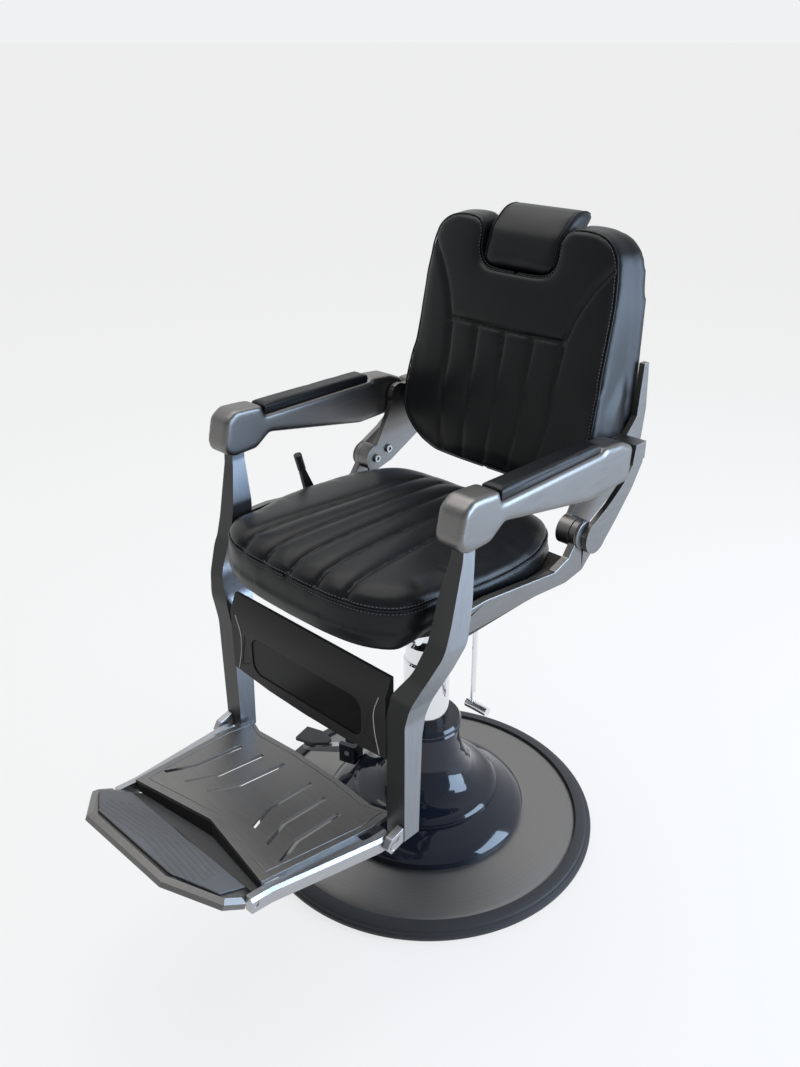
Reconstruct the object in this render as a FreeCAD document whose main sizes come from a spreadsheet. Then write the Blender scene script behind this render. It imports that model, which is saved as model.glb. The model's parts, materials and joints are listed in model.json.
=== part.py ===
import FreeCAD, Part
import math
import os
import Sketcher

# Hydraulic barber chair, built as a parametric document.
# Millimetres, +Z up, chair facing -Y, +X at the sitter's left, origin on the floor under the column.

SIZES = {
    # Round base
    "base_radius": 350,
    "ring_width": 32,
    "plate_floor": 5,
    "plate_wall": 6,
    "plate_edge_height": 24,
    "plate_crown_height": 34,
    "ring_height": 25,
    "skirt_radius": 205,
    "skirt_wall": 6,
    "skirt_shoulder_height": 88,
    "bell_radius": 149,
    "bell_wall": 6,
    "neck_radius": 67,
    "neck_height": 235,
    "collar_radius": 72,
    "collar_height": 22,
    # Hydraulic column
    "ram_radius": 46,
    "ram_bore_radius": 38,
    "ram_foot_height": 120,
    "ram_shoulder_height": 396,
    "spigot_radius": 24,
    "spigot_length": 54,
    "cylinder_bore_radius": 49,
    "cylinder_wall": 7,
    "cylinder_flange_radius": 100,
    "cylinder_flange_thickness": 12,
    "bolt_circle_radius": 82,
    "bolt_head_radius": 8,
    "bolt_head_height": 8,
    "ram_ring_height": 15,
    # Foot pump beside the bell
    "pump_reach": 176,
    "pump_angle": 198,
    "pump_box_radius": 20,
    "pump_box_top": 128,
    "pump_pivot_height": 108,
    "pump_lever_width": 16,
    "pump_lever_length": 92,
    "pump_lever_thickness": 10,
    "pedal_length": 74,
    "pedal_width": 46,
    "pedal_thickness": 12,
    # Fits
    "running_clearance": 0.05,
    "seat_clearance": 0.3,
    "joint_clearance": 0.5,
    "pin_radius": 8,
    # Seat frame
    "hub_radius": 42,
    "hub_neck_radius": 30,
    "hub_flange_radius": 80,
    "cradle_height": 640,
    "cradle_thickness": 6,
    "cradle_half_width": 256,
    "cradle_wall_height": 38,
    "cradle_front": -190,
    "cradle_back": 104,
    "front_rail_front": -286,
    "front_rail_half_width": 195,
    "front_rail_lip": 12,
    "board_thickness": 14,
    "rail_thickness": 14,
    "rail_depth": 42,
    "rail_boss_radius": 21,
    "cross_tube_radius": 11,
    "cross_tube_y": -235,
    "link_rod_radius": 5,
    "link_rod_x": 78,
    "link_rod_y": 52,
    "link_rod_low": 300,
    "link_boss_radius": 9,
    # Pivots of the reclining linkage
    "back_pivot_y": 96,
    "back_pivot_z": 722,
    "leg_pivot_y": -240,
    "leg_pivot_z": 680,
    "arm_rear_y": 165,
    "arm_rear_z": 840,
    "arm_front_y": -225,
    "arm_front_z": 855,
    "arm_front_pin_radius": 5,
    "arm_front_play": 5,
    # Seat cushion
    "seat_half_width": 226,
    "seat_front": -338,
    "seat_back": 142,
    "seat_thickness": 72,
    "seat_rear_drop": 16,
    "seat_roll_drop": 30,
    "seat_edge_radius": 14,
    "seat_corner_radius": 70,
    # Back
    "bracket_inner": 231,
    "bracket_thickness": 11,
    "hinge_boss_radius": 26,
    "arm_boss_radius": 24,
    "hinge_disc_radius": 25,
    "hinge_disc_thickness": 4,
    "spine_top": 975,
    "leaf_thickness": 10,
    "leaf_radius": 31,
    "leaf_pin_depth": 6,
    "shell_front": 290,
    "shell_thickness": 12,
    "shell_low": 790,
    "shell_top": 1130,
    "back_half_width": 224,
    "back_front_half_width": 212,
    "back_low": 745,
    "back_top": 1198,
    "back_corner_radius": 36,
    "back_lean": 17,
    "back_knee_y": 212,
    "back_knee_z": 1009,
    "lumbar_y": 156,
    "lumbar_z": 850,
    # Headrest
    "headrest_half_width": 78,
    "headrest_gap": 4,
    "headrest_corner_radius": 24,
    "headrest_low": 1110,
    "headrest_top": 1216,
    "headrest_bar_half_width": 30,
    "headrest_bar_thickness": 6,
    "headrest_bar_low": 960,
    "guide_half_width": 48,
    "guide_wall": 7,
    "guide_low": 1030,
    "guide_high": 1120,
    # Arms
    "arm_inner": 245,
    "arm_width": 52,
    "arm_edge_radius": 7,
    "arm_corner_radius": 9,
    "arm_bulb_radius": 18,
    "arm_outer_skin": 5,
    "pad_half_width": 20,
    "pad_height": 18,
    "pad_front": -166,
    "pad_back": 98,
    # Legs
    "leg_top": 870,
    "leg_foot": 284,
    "leg_bend_radius": 55,
    "leg_pin_reach": 7,
    "calf_half_width": 196,
    "calf_low": 437,
    "calf_top": 589,
    "calf_front": -317,
    "calf_thickness": 20,
    "calf_ledge_height": 34,
    "calf_ledge_depth": 14,
    "calf_pad_half_width": 140,
    "calf_pad_height": 76,
    "calf_pad_corner_radius": 22,
    "calf_pad_thickness": 6,
    "calf_recess_depth": 8,
    "calf_mark_depth": 1.2,
    # Footrest
    "foot_pivot_y": -338,
    "foot_pivot_z": 290,
    "foot_pin_radius": 7,
    "foot_tilt": -6,
    "foot_plate_thickness": 7,
    "foot_plate_rear": 37,
    "foot_plate_front": -229,
    "foot_plate_notch": 32,
    "foot_plate_half_width": 188,
    "foot_slot_width": 9,
    "foot_bead_inset": 11,
    "foot_bead_width": 2.5,
    "foot_bead_depth": 1.2,
    "foot_arm_inner": 199,
    "foot_arm_width": 22,
    "foot_arm_low": -14,
    "foot_arm_height": 26,
    "foot_arm_bevel": 5,
    "knuckle_width": 14,
    "toe_pivot_reach": -252,
    "toe_pin_radius": 5,
    "toe_tilt": -25,
    "toe_thickness": 16,
    "toe_rim_bevel": 7,
    "toe_apron_reach": 46,
    "toe_apron_thickness": 5,
    "toe_length": 122,
    "toe_rear_half_width": 184,
    "toe_front_half_width": 102,
    "tread_inset": 15,
    "tread_thickness": 4,
    # Recline lever at the right rail
    "lever_pivot_y": -45,
    "lever_pivot_z": 668,
    "lever_pin_radius": 6,
    "lever_reach": 66,
    "lever_thickness": 8,
    "lever_grip_radius": 8,
    "lever_grip_length": 34,
}

os.makedirs("parts", exist_ok=True)
doc = FreeCAD.newDocument("barber_chair")
sheet = doc.addObject("Spreadsheet::Sheet", "sizes")


class Size:
    """A length with its value and the sheet expression that it comes from."""

    def __init__(self, value, text):
        self.value = float(value)
        self.text = text

    def __add__(self, other):
        other = as_size(other)
        return Size(self.value + other.value, "(%s + %s)" % (self.text, other.text))

    def __sub__(self, other):
        other = as_size(other)
        return Size(self.value - other.value, "(%s - %s)" % (self.text, other.text))

    def __mul__(self, other):
        other = as_size(other)
        return Size(self.value * other.value, "(%s * %s)" % (self.text, other.text))

    def __truediv__(self, other):
        other = as_size(other)
        return Size(self.value / other.value, "(%s / %s)" % (self.text, other.text))

    def __neg__(self):
        return Size(-self.value, "(0 - %s)" % self.text)

    def __radd__(self, other):
        return as_size(other) + self

    def __rsub__(self, other):
        return as_size(other) - self

    def __rmul__(self, other):
        return as_size(other) * self


def as_size(value):
    if isinstance(value, Size):
        return value
    return Size(value, "%.9g" % value if value >= 0 else "(0 - %.9g)" % -value)


class Dimensions:
    """The driving dimensions by name."""


dim = Dimensions()
for row, (alias, number) in enumerate(SIZES.items(), start=1):
    sheet.set("A%d" % row, alias)
    sheet.set("B%d" % row, str(number))
    sheet.setAlias("B%d" % row, alias)
    setattr(dim, alias, Size(number, "sizes." + alias))
doc.recompute()

NODES = []
SIDES = (("left", 1), ("right", -1))


def bind(thing, path, size):
    thing.setExpression(path, as_size(size).text)


def keep(thing, label):
    """Register a finished piece under its own name."""
    thing.Label = label
    NODES.append(thing)
    return thing


def new_body(label):
    return keep(doc.addObject("PartDesign::Body", "Body"), label)


def circle(across, up, radius):
    return ("circle", as_size(across), as_size(up), as_size(radius))


def add_polygon(sketch, points):
    points = [(as_size(across), as_size(up)) for across, up in points]
    corners = [FreeCAD.Vector(across.value, up.value, 0) for across, up in points]
    first = len(sketch.Geometry)
    count = len(corners)
    for i in range(count):
        sketch.addGeometry(Part.LineSegment(corners[i], corners[(i + 1) % count]), False)
    for i in range(count):
        sketch.addConstraint(Sketcher.Constraint("Coincident", first + i, 2, first + (i + 1) % count, 1))
    for i, (across, up) in enumerate(points):
        place_point(sketch, first + i, 1, across, up)


def place_point(sketch, geometry, vertex, across, up):
    for kind, size, axis in (("DistanceX", across, -2), ("DistanceY", up, -1)):
        if size.text == "0":
            sketch.addConstraint(Sketcher.Constraint("PointOnObject", geometry, vertex, axis))
            continue
        index = sketch.addConstraint(Sketcher.Constraint(kind, -1, 1, geometry, vertex, size.value))
        bind(sketch, "Constraints[%d]" % index, size)


def add_circle(sketch, across, up, radius):
    centre = FreeCAD.Vector(across.value, up.value, 0)
    geometry = sketch.addGeometry(Part.Circle(centre, FreeCAD.Vector(0, 0, 1), radius.value), False)
    place_point(sketch, geometry, 3, across, up)
    index = sketch.addConstraint(Sketcher.Constraint("Radius", geometry, radius.value))
    bind(sketch, "Constraints[%d]" % index, radius)


def add_sketch(body, role, loops, offset=0):
    """A sketch on one of the body's own planes, made of closed polygons and circles."""
    sketch = body.newObject("Sketcher::SketchObject", "Outline")
    plane = [feature for feature in body.Origin.OriginFeatures if feature.Role == role][0]
    sketch.AttachmentSupport = [(plane, "")]
    sketch.MapMode = "FlatFace"
    offset = as_size(offset)
    sketch.AttachmentOffset = FreeCAD.Placement(FreeCAD.Vector(0, 0, offset.value), FreeCAD.Rotation())
    bind(sketch, "AttachmentOffset.Base.z", offset)
    for loop in loops:
        if loop[0] == "circle":
            add_circle(sketch, *loop[1:])
        else:
            add_polygon(sketch, loop)
    return sketch


def add_pad(body, role, loops, start, length):
    """Raise an outline from a start along the plane's normal: +X, +Z or -Y."""
    pad = body.newObject("PartDesign::Pad", "Pad")
    pad.Profile = add_sketch(body, role, loops, start)
    bind(pad, "Length", length)
    doc.recompute()
    return pad


def add_cut(body, role, loops, start, length):
    """Cut an outline out of the body along the plane's normal."""
    before = body.Shape.Volume
    cut = body.newObject("PartDesign::Pocket", "Cut")
    cut.Profile = add_sketch(body, role, loops, start)
    cut.Reversed = True
    bind(cut, "Length", length)
    doc.recompute()
    if not body.Shape.Volume < before:
        raise RuntimeError("nothing was cut out of " + body.Label)
    return cut


def round_edges(body, radius, chosen):
    """Round the edges of the body's last feature that the test picks."""
    doc.recompute()
    tip = body.Tip
    names = ["Edge%d" % (i + 1) for i, edge in enumerate(tip.Shape.Edges) if chosen(edge)]
    fillet = body.newObject("PartDesign::Fillet", "Fillet")
    fillet.Base = (tip, names)
    bind(fillet, "Radius", radius)
    doc.recompute()
    return fillet


def bevel_edges(body, size, chosen):
    """Cut a flat bevel along the edges of the body's last feature that the test picks."""
    doc.recompute()
    tip = body.Tip
    names = ["Edge%d" % (i + 1) for i, edge in enumerate(tip.Shape.Edges) if chosen(edge)]
    bevel = body.newObject("PartDesign::Chamfer", "Bevel")
    bevel.Base = (tip, names)
    bind(bevel, "Size", size)
    doc.recompute()
    return bevel


def common(label, first, second):
    """The piece that two crossing outlines have in common."""
    shared = doc.addObject("Part::Common", "Common")
    shared.Base = first
    shared.Tool = second
    return keep(shared, label)


def blank_body():
    """A body that only serves to shape another piece."""
    return doc.addObject("PartDesign::Body", "Blank")


def runs_along(axis):
    """A test for straight edges along one axis, 0 for X, 1 for Y and 2 for Z."""
    def test(edge):
        if edge.Curve.TypeId != "Part::GeomLine":
            return False
        return abs(edge.Curve.Direction[axis]) > 0.999
    return test


def lies_at(axis, *places):
    """A test for edges that lie in one of the planes across an axis."""
    def test(edge):
        low = (edge.BoundBox.XMin, edge.BoundBox.YMin, edge.BoundBox.ZMin)[axis]
        high = (edge.BoundBox.XMax, edge.BoundBox.YMax, edge.BoundBox.ZMax)[axis]
        return any(abs(low - place) < 0.01 and abs(high - place) < 0.01 for place in places)
    return test


def turned(label, profile):
    """A piece turned about the column's axis, from (radius, height) points."""
    body = new_body(label)
    sketch = add_sketch(body, "XZ_Plane", [profile])
    turn = body.newObject("PartDesign::Revolution", "Turn")
    turn.Profile = sketch
    turn.ReferenceAxis = (sketch, ["V_Axis"])
    turn.Angle = 360
    doc.recompute()
    return body


def side_start(side, inner, width):
    """Where a piece starts along X on the left side (+1) or the right side (-1)."""
    return as_size(inner) if side > 0 else -(as_size(inner) + width)


def side_plate(label, side, loops, inner, width):
    """A plate cut to a (y, z) outline, standing on one side of the chair."""
    body = new_body(label)
    add_pad(body, "YZ_Plane", loops, side_start(side, inner, width), width)
    return body


def cross_block(label, loops, half_width):
    """A piece with a (y, z) outline that runs from side to side."""
    body = new_body(label)
    add_pad(body, "YZ_Plane", loops, -half_width, 2 * half_width)
    return body


def slab(label, loops, low, height):
    """A piece with an (x, y) outline and a height."""
    body = new_body(label)
    add_pad(body, "XY_Plane", loops, low, height)
    return body


def cross_rod(start, length, y, z, radius):
    """A round rod along X."""
    rod = doc.addObject("Part::Cylinder", "Rod")
    rod.Placement = FreeCAD.Placement(FreeCAD.Vector(), FreeCAD.Rotation(FreeCAD.Vector(0, 1, 0), 90))
    bind(rod, "Radius", radius)
    bind(rod, "Height", length)
    bind(rod, "Placement.Base.x", start)
    bind(rod, "Placement.Base.y", y)
    bind(rod, "Placement.Base.z", z)
    return rod


def pin(label, start, length, y, z, radius):
    return keep(cross_rod(start, length, y, z, radius), label)


def grouped(label, pieces):
    """Like pieces that share one node as separate solids."""
    group = doc.addObject("Part::Compound", "Group")
    group.Links = pieces
    return keep(group, label)


def pin_pair(label, inner, length, y, z, radius):
    """The same pin on the left and on the right."""
    rods = [cross_rod(side_start(side, inner, length), length, y, z, radius) for name, side in SIDES]
    return grouped(label, rods)


def rectangle(low_across, high_across, low_up, high_up):
    return [(low_across, low_up), (high_across, low_up), (high_across, high_up), (low_across, high_up)]


def place(body, y, z, tilt):
    """Stand a piece built about its own pivot on that pivot, turned about X."""
    body.Placement = FreeCAD.Placement(
        FreeCAD.Vector(0, as_size(y).value, as_size(z).value),
        FreeCAD.Rotation(FreeCAD.Vector(1, 0, 0), as_size(tilt).value),
    )
    bind(body, "Placement.Base.y", y)
    bind(body, "Placement.Base.z", z)
    bind(body, "Placement.Rotation.Angle", tilt)


# Round base: dished plate, rubber ring, skirt, bell and collar
def make_base():
    gap = dim.seat_clearance
    flat = dim.skirt_radius + 10
    inner = dim.skirt_radius - 20
    edge = dim.plate_edge_height
    crown = dim.plate_crown_height
    wall = dim.plate_wall
    plate = dim.base_radius - dim.ring_width
    turned("base_plate", [
        (0, 0), (plate, 0), (plate, edge - 6), (plate - 12, edge), (flat, crown), (inner, crown),
        (inner, crown - wall), (flat, crown - wall), (plate - 14, edge - wall), (plate - 14, dim.plate_floor),
        (0, dim.plate_floor),
    ])
    # Two ribs run round the rubber ring
    outer = dim.base_radius
    top = dim.ring_height
    turned("base_ring", [
        (plate + gap, 0), (outer - 6, 0), (outer, 5), (outer, top - 14), (outer - 4, top - 12),
        (outer - 5, top - 8),
        (outer - 9, top - 7), (outer - 11, top - 3), (outer - 19, top), (plate + gap, top),
    ])
    shoulder = dim.skirt_shoulder_height
    skirt_wall = dim.skirt_wall
    turned("pedestal_skirt", [
        (dim.skirt_radius - 12, crown), (dim.skirt_radius, crown), (dim.skirt_radius, crown + 14),
        (dim.skirt_radius - 6, crown + 22), (dim.bell_radius + 4, shoulder - 3),
        (dim.bell_radius - 2, shoulder),
        (dim.bell_radius - 30, shoulder), (dim.bell_radius - 30, shoulder - skirt_wall),
        (dim.bell_radius - 2, shoulder - skirt_wall - 3), (dim.skirt_radius - 12, crown + 14),
    ])
    bell = dim.bell_radius
    neck = dim.neck_radius
    top = dim.neck_height
    wall = dim.bell_wall
    turned("pedestal_bell", [
        (bell - wall, shoulder), (bell, shoulder), (bell, shoulder + 8), (bell - 8, shoulder + 16),
        (bell - 25, shoulder + 23), (bell - 40, shoulder + 33), (neck + 29, shoulder + 46),
        (neck + 19, shoulder + 63),
        (neck + 10, shoulder + 85), (neck + 3, top - 30), (neck, top), (neck - wall, top),
        (neck - wall + 3, top - 30),
        (neck - wall + 19, shoulder + 59), (bell - wall - 40, shoulder + 28),
        (bell - wall - 9, shoulder + 11),
    ])
    collar = dim.collar_radius
    bore = dim.ram_radius + dim.running_clearance
    high = top + dim.collar_height
    turned("neck_collar", [
        (bore, top), (neck, top), (collar, top + 4), (collar - 3, top + 9), (collar - 3, top + 12),
        (collar, top + 16), (collar - 4, high), (bore, high),
    ])
    outer = dim.cylinder_bore_radius + dim.cylinder_wall
    flange = dim.plate_floor + dim.cylinder_flange_thickness
    turned("pump_cylinder", [
        (dim.cylinder_bore_radius, dim.plate_floor), (dim.cylinder_flange_radius, dim.plate_floor),
        (dim.cylinder_flange_radius, flange), (outer, flange), (outer, top), (dim.cylinder_bore_radius, top),
    ])
    bolts = []
    count = 6
    for i in range(count):
        bolt = doc.addObject("Part::Cylinder", "Bolt")
        angle = 2 * math.pi * i / count
        bind(bolt, "Radius", dim.bolt_head_radius)
        bind(bolt, "Height", dim.bolt_head_height)
        bind(bolt, "Placement.Base.x", dim.bolt_circle_radius * math.cos(angle))
        bind(bolt, "Placement.Base.y", dim.bolt_circle_radius * math.sin(angle))
        bind(bolt, "Placement.Base.z", flange)
        bolts.append(bolt)
    grouped("cylinder_bolts", bolts)


# Chrome ram with its guide ring
def make_lift():
    spigot_top = dim.ram_shoulder_height + dim.spigot_length
    crown = dim.ram_shoulder_height - 15
    turned("lift_ram", [
        (dim.ram_bore_radius, dim.ram_foot_height), (dim.ram_radius, dim.ram_foot_height),
        (dim.ram_radius, dim.ram_shoulder_height - 3), (dim.ram_radius - 3, dim.ram_shoulder_height),
        (dim.spigot_radius, dim.ram_shoulder_height), (dim.spigot_radius, spigot_top),
        (0, spigot_top), (0, crown), (dim.ram_bore_radius, crown),
    ])
    low = dim.ram_foot_height + 2
    outer = dim.cylinder_bore_radius - dim.running_clearance
    inner = dim.ram_radius + dim.seat_clearance
    turned("ram_ring", [
        (inner, low), (outer, low), (outer, low + dim.ram_ring_height), (inner, low + dim.ram_ring_height),
    ])


# Foot pump: a plunger box on the skirt, its lever and its pedal
def make_pump():
    turn = dim.pump_angle

    def stand(body):
        body.Placement = FreeCAD.Placement(
            FreeCAD.Vector(), FreeCAD.Rotation(FreeCAD.Vector(0, 0, 1), turn.value))
        bind(body, "Placement.Rotation.Angle", turn)

    radius = dim.pump_box_radius
    reach = dim.pump_reach
    rise = dim.skirt_shoulder_height - dim.plate_crown_height - 25
    slope = rise / (dim.skirt_radius - dim.bell_radius - 10)
    foot = dim.skirt_shoulder_height - 3 - slope * (reach - radius - dim.bell_radius - 4)
    low = foot + dim.seat_clearance
    fork = dim.pump_lever_width / 2 + dim.joint_clearance
    outline = rectangle(reach - radius, reach + radius, -radius, radius)
    box = slab("pump_box", [outline], low, dim.pump_box_top - low)
    add_cut(box, "XY_Plane", [rectangle(reach - radius + 8, reach + radius + 1, -fork, fork)],
            dim.pump_pivot_height - 20, dim.pump_box_top)
    hole = dim.lever_pin_radius + dim.running_clearance
    add_cut(box, "XZ_Plane", [circle(reach, dim.pump_pivot_height, hole)], -radius - 1, 2 * radius + 2)
    round_edges(box, 4, runs_along(2))
    stand(box)
    lever = new_body("pump_lever")
    half = dim.pump_lever_width / 2
    thick = dim.pump_lever_thickness
    pivot = dim.pump_pivot_height
    end = reach + dim.pump_lever_length
    add_pad(lever, "XZ_Plane", [[
        (reach - 8, pivot - 9), (reach + 10, pivot - 9), (end, pivot - 34), (end + 24, pivot - 34),
        (end + 24, pivot - 34 + thick), (end + 2, pivot - 34 + thick), (reach + 12, pivot + 8),
        (reach - 8, pivot + 8),
    ], circle(reach, pivot, hole)], -half, 2 * half)
    stand(lever)
    pedal_low = pivot - 34 + thick
    width = dim.pedal_width / 2
    pedal = slab("pump_pedal", [[
        (end - 40, -width / 3), (end - 10, -width), (end + dim.pedal_length - 44, -width),
        (end + dim.pedal_length - 40, width), (end - 10, width), (end - 40, width / 3),
    ]], pedal_low + 19, dim.pedal_thickness - 4)
    add_pad(pedal, "XY_Plane", [rectangle(end + 3, end + 23, -half, half)], pedal_low, 20)
    stand(pedal)
    rod = doc.addObject("Part::Cylinder", "Pin")
    rod.Placement = FreeCAD.Placement(
        FreeCAD.Vector(), FreeCAD.Rotation(FreeCAD.Vector(0, 0, 1), turn.value)
        .multiply(FreeCAD.Rotation(FreeCAD.Vector(1, 0, 0), 90)))
    bind(rod, "Radius", dim.lever_pin_radius)
    bind(rod, "Height", 2 * radius)
    angle = math.radians(turn.value)
    bind(rod, "Placement.Base.x", reach * math.cos(angle) - radius * math.sin(angle))
    bind(rod, "Placement.Base.y", reach * math.sin(angle) + radius * math.cos(angle))
    bind(rod, "Placement.Base.z", pivot)
    keep(rod, "pump_pin")


# Seat frame on the swivel hub
def make_seat_frame():
    bore = dim.spigot_radius + dim.running_clearance
    low = dim.ram_shoulder_height + dim.seat_clearance
    top = dim.cradle_height
    blind = dim.ram_shoulder_height + dim.spigot_length + 2
    turned("swivel_hub", [
        (bore, low), (dim.hub_radius - 2, low), (dim.hub_radius, low + 2), (dim.hub_radius, low + 36),
        (dim.hub_neck_radius, low + 48), (dim.hub_neck_radius, top - 36), (dim.hub_flange_radius, top - 12),
        (dim.hub_flange_radius, top), (0, top), (0, blind), (bore, blind),
    ])
    half = dim.cradle_half_width
    thick = dim.cradle_thickness
    rim = top + dim.cradle_wall_height
    cradle = new_body("seat_cradle")
    add_pad(cradle, "XZ_Plane", [[
        (-half, rim), (-half, top), (half, top), (half, rim),
        (half - thick, rim), (half - thick, top + thick), (thick - half, top + thick), (thick - half, rim),
    ]], -dim.cradle_back, dim.cradle_back - dim.cradle_front)
    front = dim.front_rail_front
    lip = top + thick + dim.front_rail_lip
    cross_block("seat_front_rail", [[
        (dim.cradle_front, top), (front, top), (front, lip), (front + thick, lip),
        (front + thick, top + thick), (dim.cradle_front, top + thick),
    ]], dim.front_rail_half_width)
    board_low = top + thick
    inner = half - thick - 4
    slab("seat_board", [[
        (-inner, dim.cradle_front), (dim.seat_clearance - dim.front_rail_half_width, front + thick),
        (dim.front_rail_half_width - dim.seat_clearance, front + thick), (inner, dim.cradle_front),
        (inner, dim.cradle_back), (-inner, dim.cradle_back),
    ]], board_low, dim.board_thickness)
    tube = dim.cross_tube_radius
    pin("cross_tube", -dim.front_rail_half_width, 2 * dim.front_rail_half_width, dim.cross_tube_y,
        top - tube - dim.seat_clearance, tube)
    rod = doc.addObject("Part::Cylinder", "Rod")
    bind(rod, "Radius", dim.link_rod_radius)
    bind(rod, "Height", top - dim.link_rod_low)
    bind(rod, "Placement.Base.x", dim.link_rod_x)
    bind(rod, "Placement.Base.y", dim.link_rod_y)
    bind(rod, "Placement.Base.z", dim.link_rod_low)
    keep(rod, "link_rod")
    boss_radius = dim.link_boss_radius
    pin("link_boss", dim.link_rod_x - 14, 52, dim.link_rod_y, dim.link_rod_low - boss_radius, boss_radius)
    make_rails()
    make_seat_cushion()


def make_rails():
    hinge_y = dim.back_pivot_y
    hinge_z = dim.back_pivot_z
    leg_y = dim.leg_pivot_y
    leg_z = dim.leg_pivot_z
    drop = dim.rail_depth
    thick = dim.rail_thickness
    inner = dim.cradle_half_width
    hole = dim.pin_radius + dim.running_clearance
    boss = dim.rail_boss_radius
    for name, side in SIDES:
        rail = side_plate("side_rail_" + name, side, [[
            (leg_y, leg_z + boss), (leg_y + 78, leg_z + boss), (hinge_y - 76, leg_z - 3),
            (hinge_y - 38, leg_z + 9), (hinge_y - 16, hinge_z - 4), (hinge_y + 16, hinge_z),
            (hinge_y + 32, hinge_z - 50), (hinge_y + 8, leg_z + 12 - drop), (hinge_y - 41, leg_z + 5 - drop),
            (hinge_y - 127, leg_z + 14 - drop), (leg_y, leg_z - boss),
        ]], inner, thick)
        start = side_start(side, inner, thick)
        add_pad(rail, "YZ_Plane", [circle(leg_y, leg_z, boss)], start, thick)
        add_pad(rail, "YZ_Plane", [circle(hinge_y, hinge_z, dim.hinge_disc_radius)], start, thick)
        holes = [circle(leg_y, leg_z, hole), circle(hinge_y, hinge_z, hole)]
        add_cut(rail, "YZ_Plane", holes, start, thick)
        disc = dim.hinge_disc_thickness
        rings = [circle(hinge_y, hinge_z, dim.hinge_disc_radius), circle(hinge_y, hinge_z, hole)]
        side_plate("hinge_disc_" + name, side, rings, inner + thick, disc)
    length = leaf_inner() + dim.leaf_pin_depth - dim.bracket_inner
    pin_pair("hinge_pins", dim.bracket_inner, length, hinge_y, hinge_z, dim.pin_radius)
    pin_pair("leg_pins", inner - 10, thick + 10 + dim.leg_pin_reach, leg_y, leg_z, dim.pin_radius)


def make_seat_cushion():
    low = dim.cradle_height + dim.cradle_thickness + dim.board_thickness + dim.seat_clearance
    roll = low - dim.seat_roll_drop
    roll_back = dim.front_rail_front - 4
    front = dim.seat_front
    back = dim.seat_back
    top = low + dim.seat_thickness
    rear_top = top - dim.seat_rear_drop
    half = dim.seat_half_width
    profile = blank_body()
    add_pad(profile, "YZ_Plane", [[
        (front + 26, roll), (front + 6, roll + 18), (front, roll + 48), (front + 8, top - 18),
        (front + 40, top),
        (back - 40, rear_top), (back - 8, rear_top - 14), (back, low + 24), (back - 14, low),
        (roll_back, low), (roll_back, roll),
    ]], -half, 2 * half)
    edge = half.value
    top_edge = lambda line: lies_at(0, -edge, edge)(line) and line.BoundBox.ZMax > low.value + 25
    round_edges(profile, dim.seat_edge_radius, top_edge)
    plan = blank_body()
    add_pad(plan, "XY_Plane", [rectangle(-half, half, front, back)], roll - 10, top - roll + 20)
    at_front = lambda line: line.BoundBox.YMax < front.value + 1
    round_edges(plan, dim.seat_corner_radius, lambda line: runs_along(2)(line) and at_front(line))
    common("seat_cushion", profile, plan)


# Reclining back: side brackets, rear shell, cushion and headrest guide
def make_back():
    hinge_y = dim.back_pivot_y
    hinge_z = dim.back_pivot_z
    arm_y = dim.arm_rear_y
    arm_z = dim.arm_rear_z
    boss = dim.hinge_boss_radius
    hole = dim.pin_radius + dim.running_clearance
    thick = dim.bracket_thickness
    rear = dim.shell_front + dim.shell_thickness
    front = dim.shell_front
    for name, side in SIDES:
        bracket = side_plate("back_bracket_" + name, side, [[
            (hinge_y - 24, hinge_z), (hinge_y + 4, hinge_z - boss), (hinge_y + 44, hinge_z - 16),
            (rear - 40, dim.shell_low - 24), (rear + 4, dim.shell_low + 40), (rear + 11, dim.shell_low + 100),
            (rear + 4, dim.spine_top), (rear - 10, dim.spine_top), (front - 6, dim.shell_low + 90),
            (front - 50, arm_z - 4),
            (arm_y + 26, arm_z + 20), (arm_y - 16, arm_z + 20), (arm_y - 26, arm_z - 22),
            (hinge_y + 6, hinge_z + 30),
        ]], dim.bracket_inner, thick)
        start = side_start(side, dim.bracket_inner, thick)
        add_pad(bracket, "YZ_Plane", [circle(arm_y, arm_z, dim.arm_boss_radius)], start, thick)
        spacer = dim.cradle_half_width - dim.seat_clearance - dim.bracket_inner
        add_pad(bracket, "YZ_Plane", [circle(hinge_y, hinge_z, boss)],
                side_start(side, dim.bracket_inner, spacer), spacer)
        add_cut(bracket, "YZ_Plane", [circle(hinge_y, hinge_z, hole)],
                side_start(side, dim.bracket_inner - 1, spacer + 2), spacer + 2)
        add_cut(bracket, "YZ_Plane", [circle(arm_y, arm_z, hole)], start, thick)
        add_leaf(bracket, side)
    length = dim.arm_width - dim.arm_outer_skin + dim.arm_inner - dim.bracket_inner
    pin_pair("arm_pins", dim.bracket_inner, length, arm_y, arm_z, dim.pin_radius)
    cross_block("back_shell", [rectangle(front, rear, dim.shell_low, dim.shell_top)], dim.bracket_inner)
    make_back_cushion()
    make_headrest()


def leaf_inner():
    """How far out the leaf of the bracket starts, past the rail and its washer."""
    return dim.cradle_half_width + dim.rail_thickness + dim.hinge_disc_thickness + dim.seat_clearance


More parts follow.
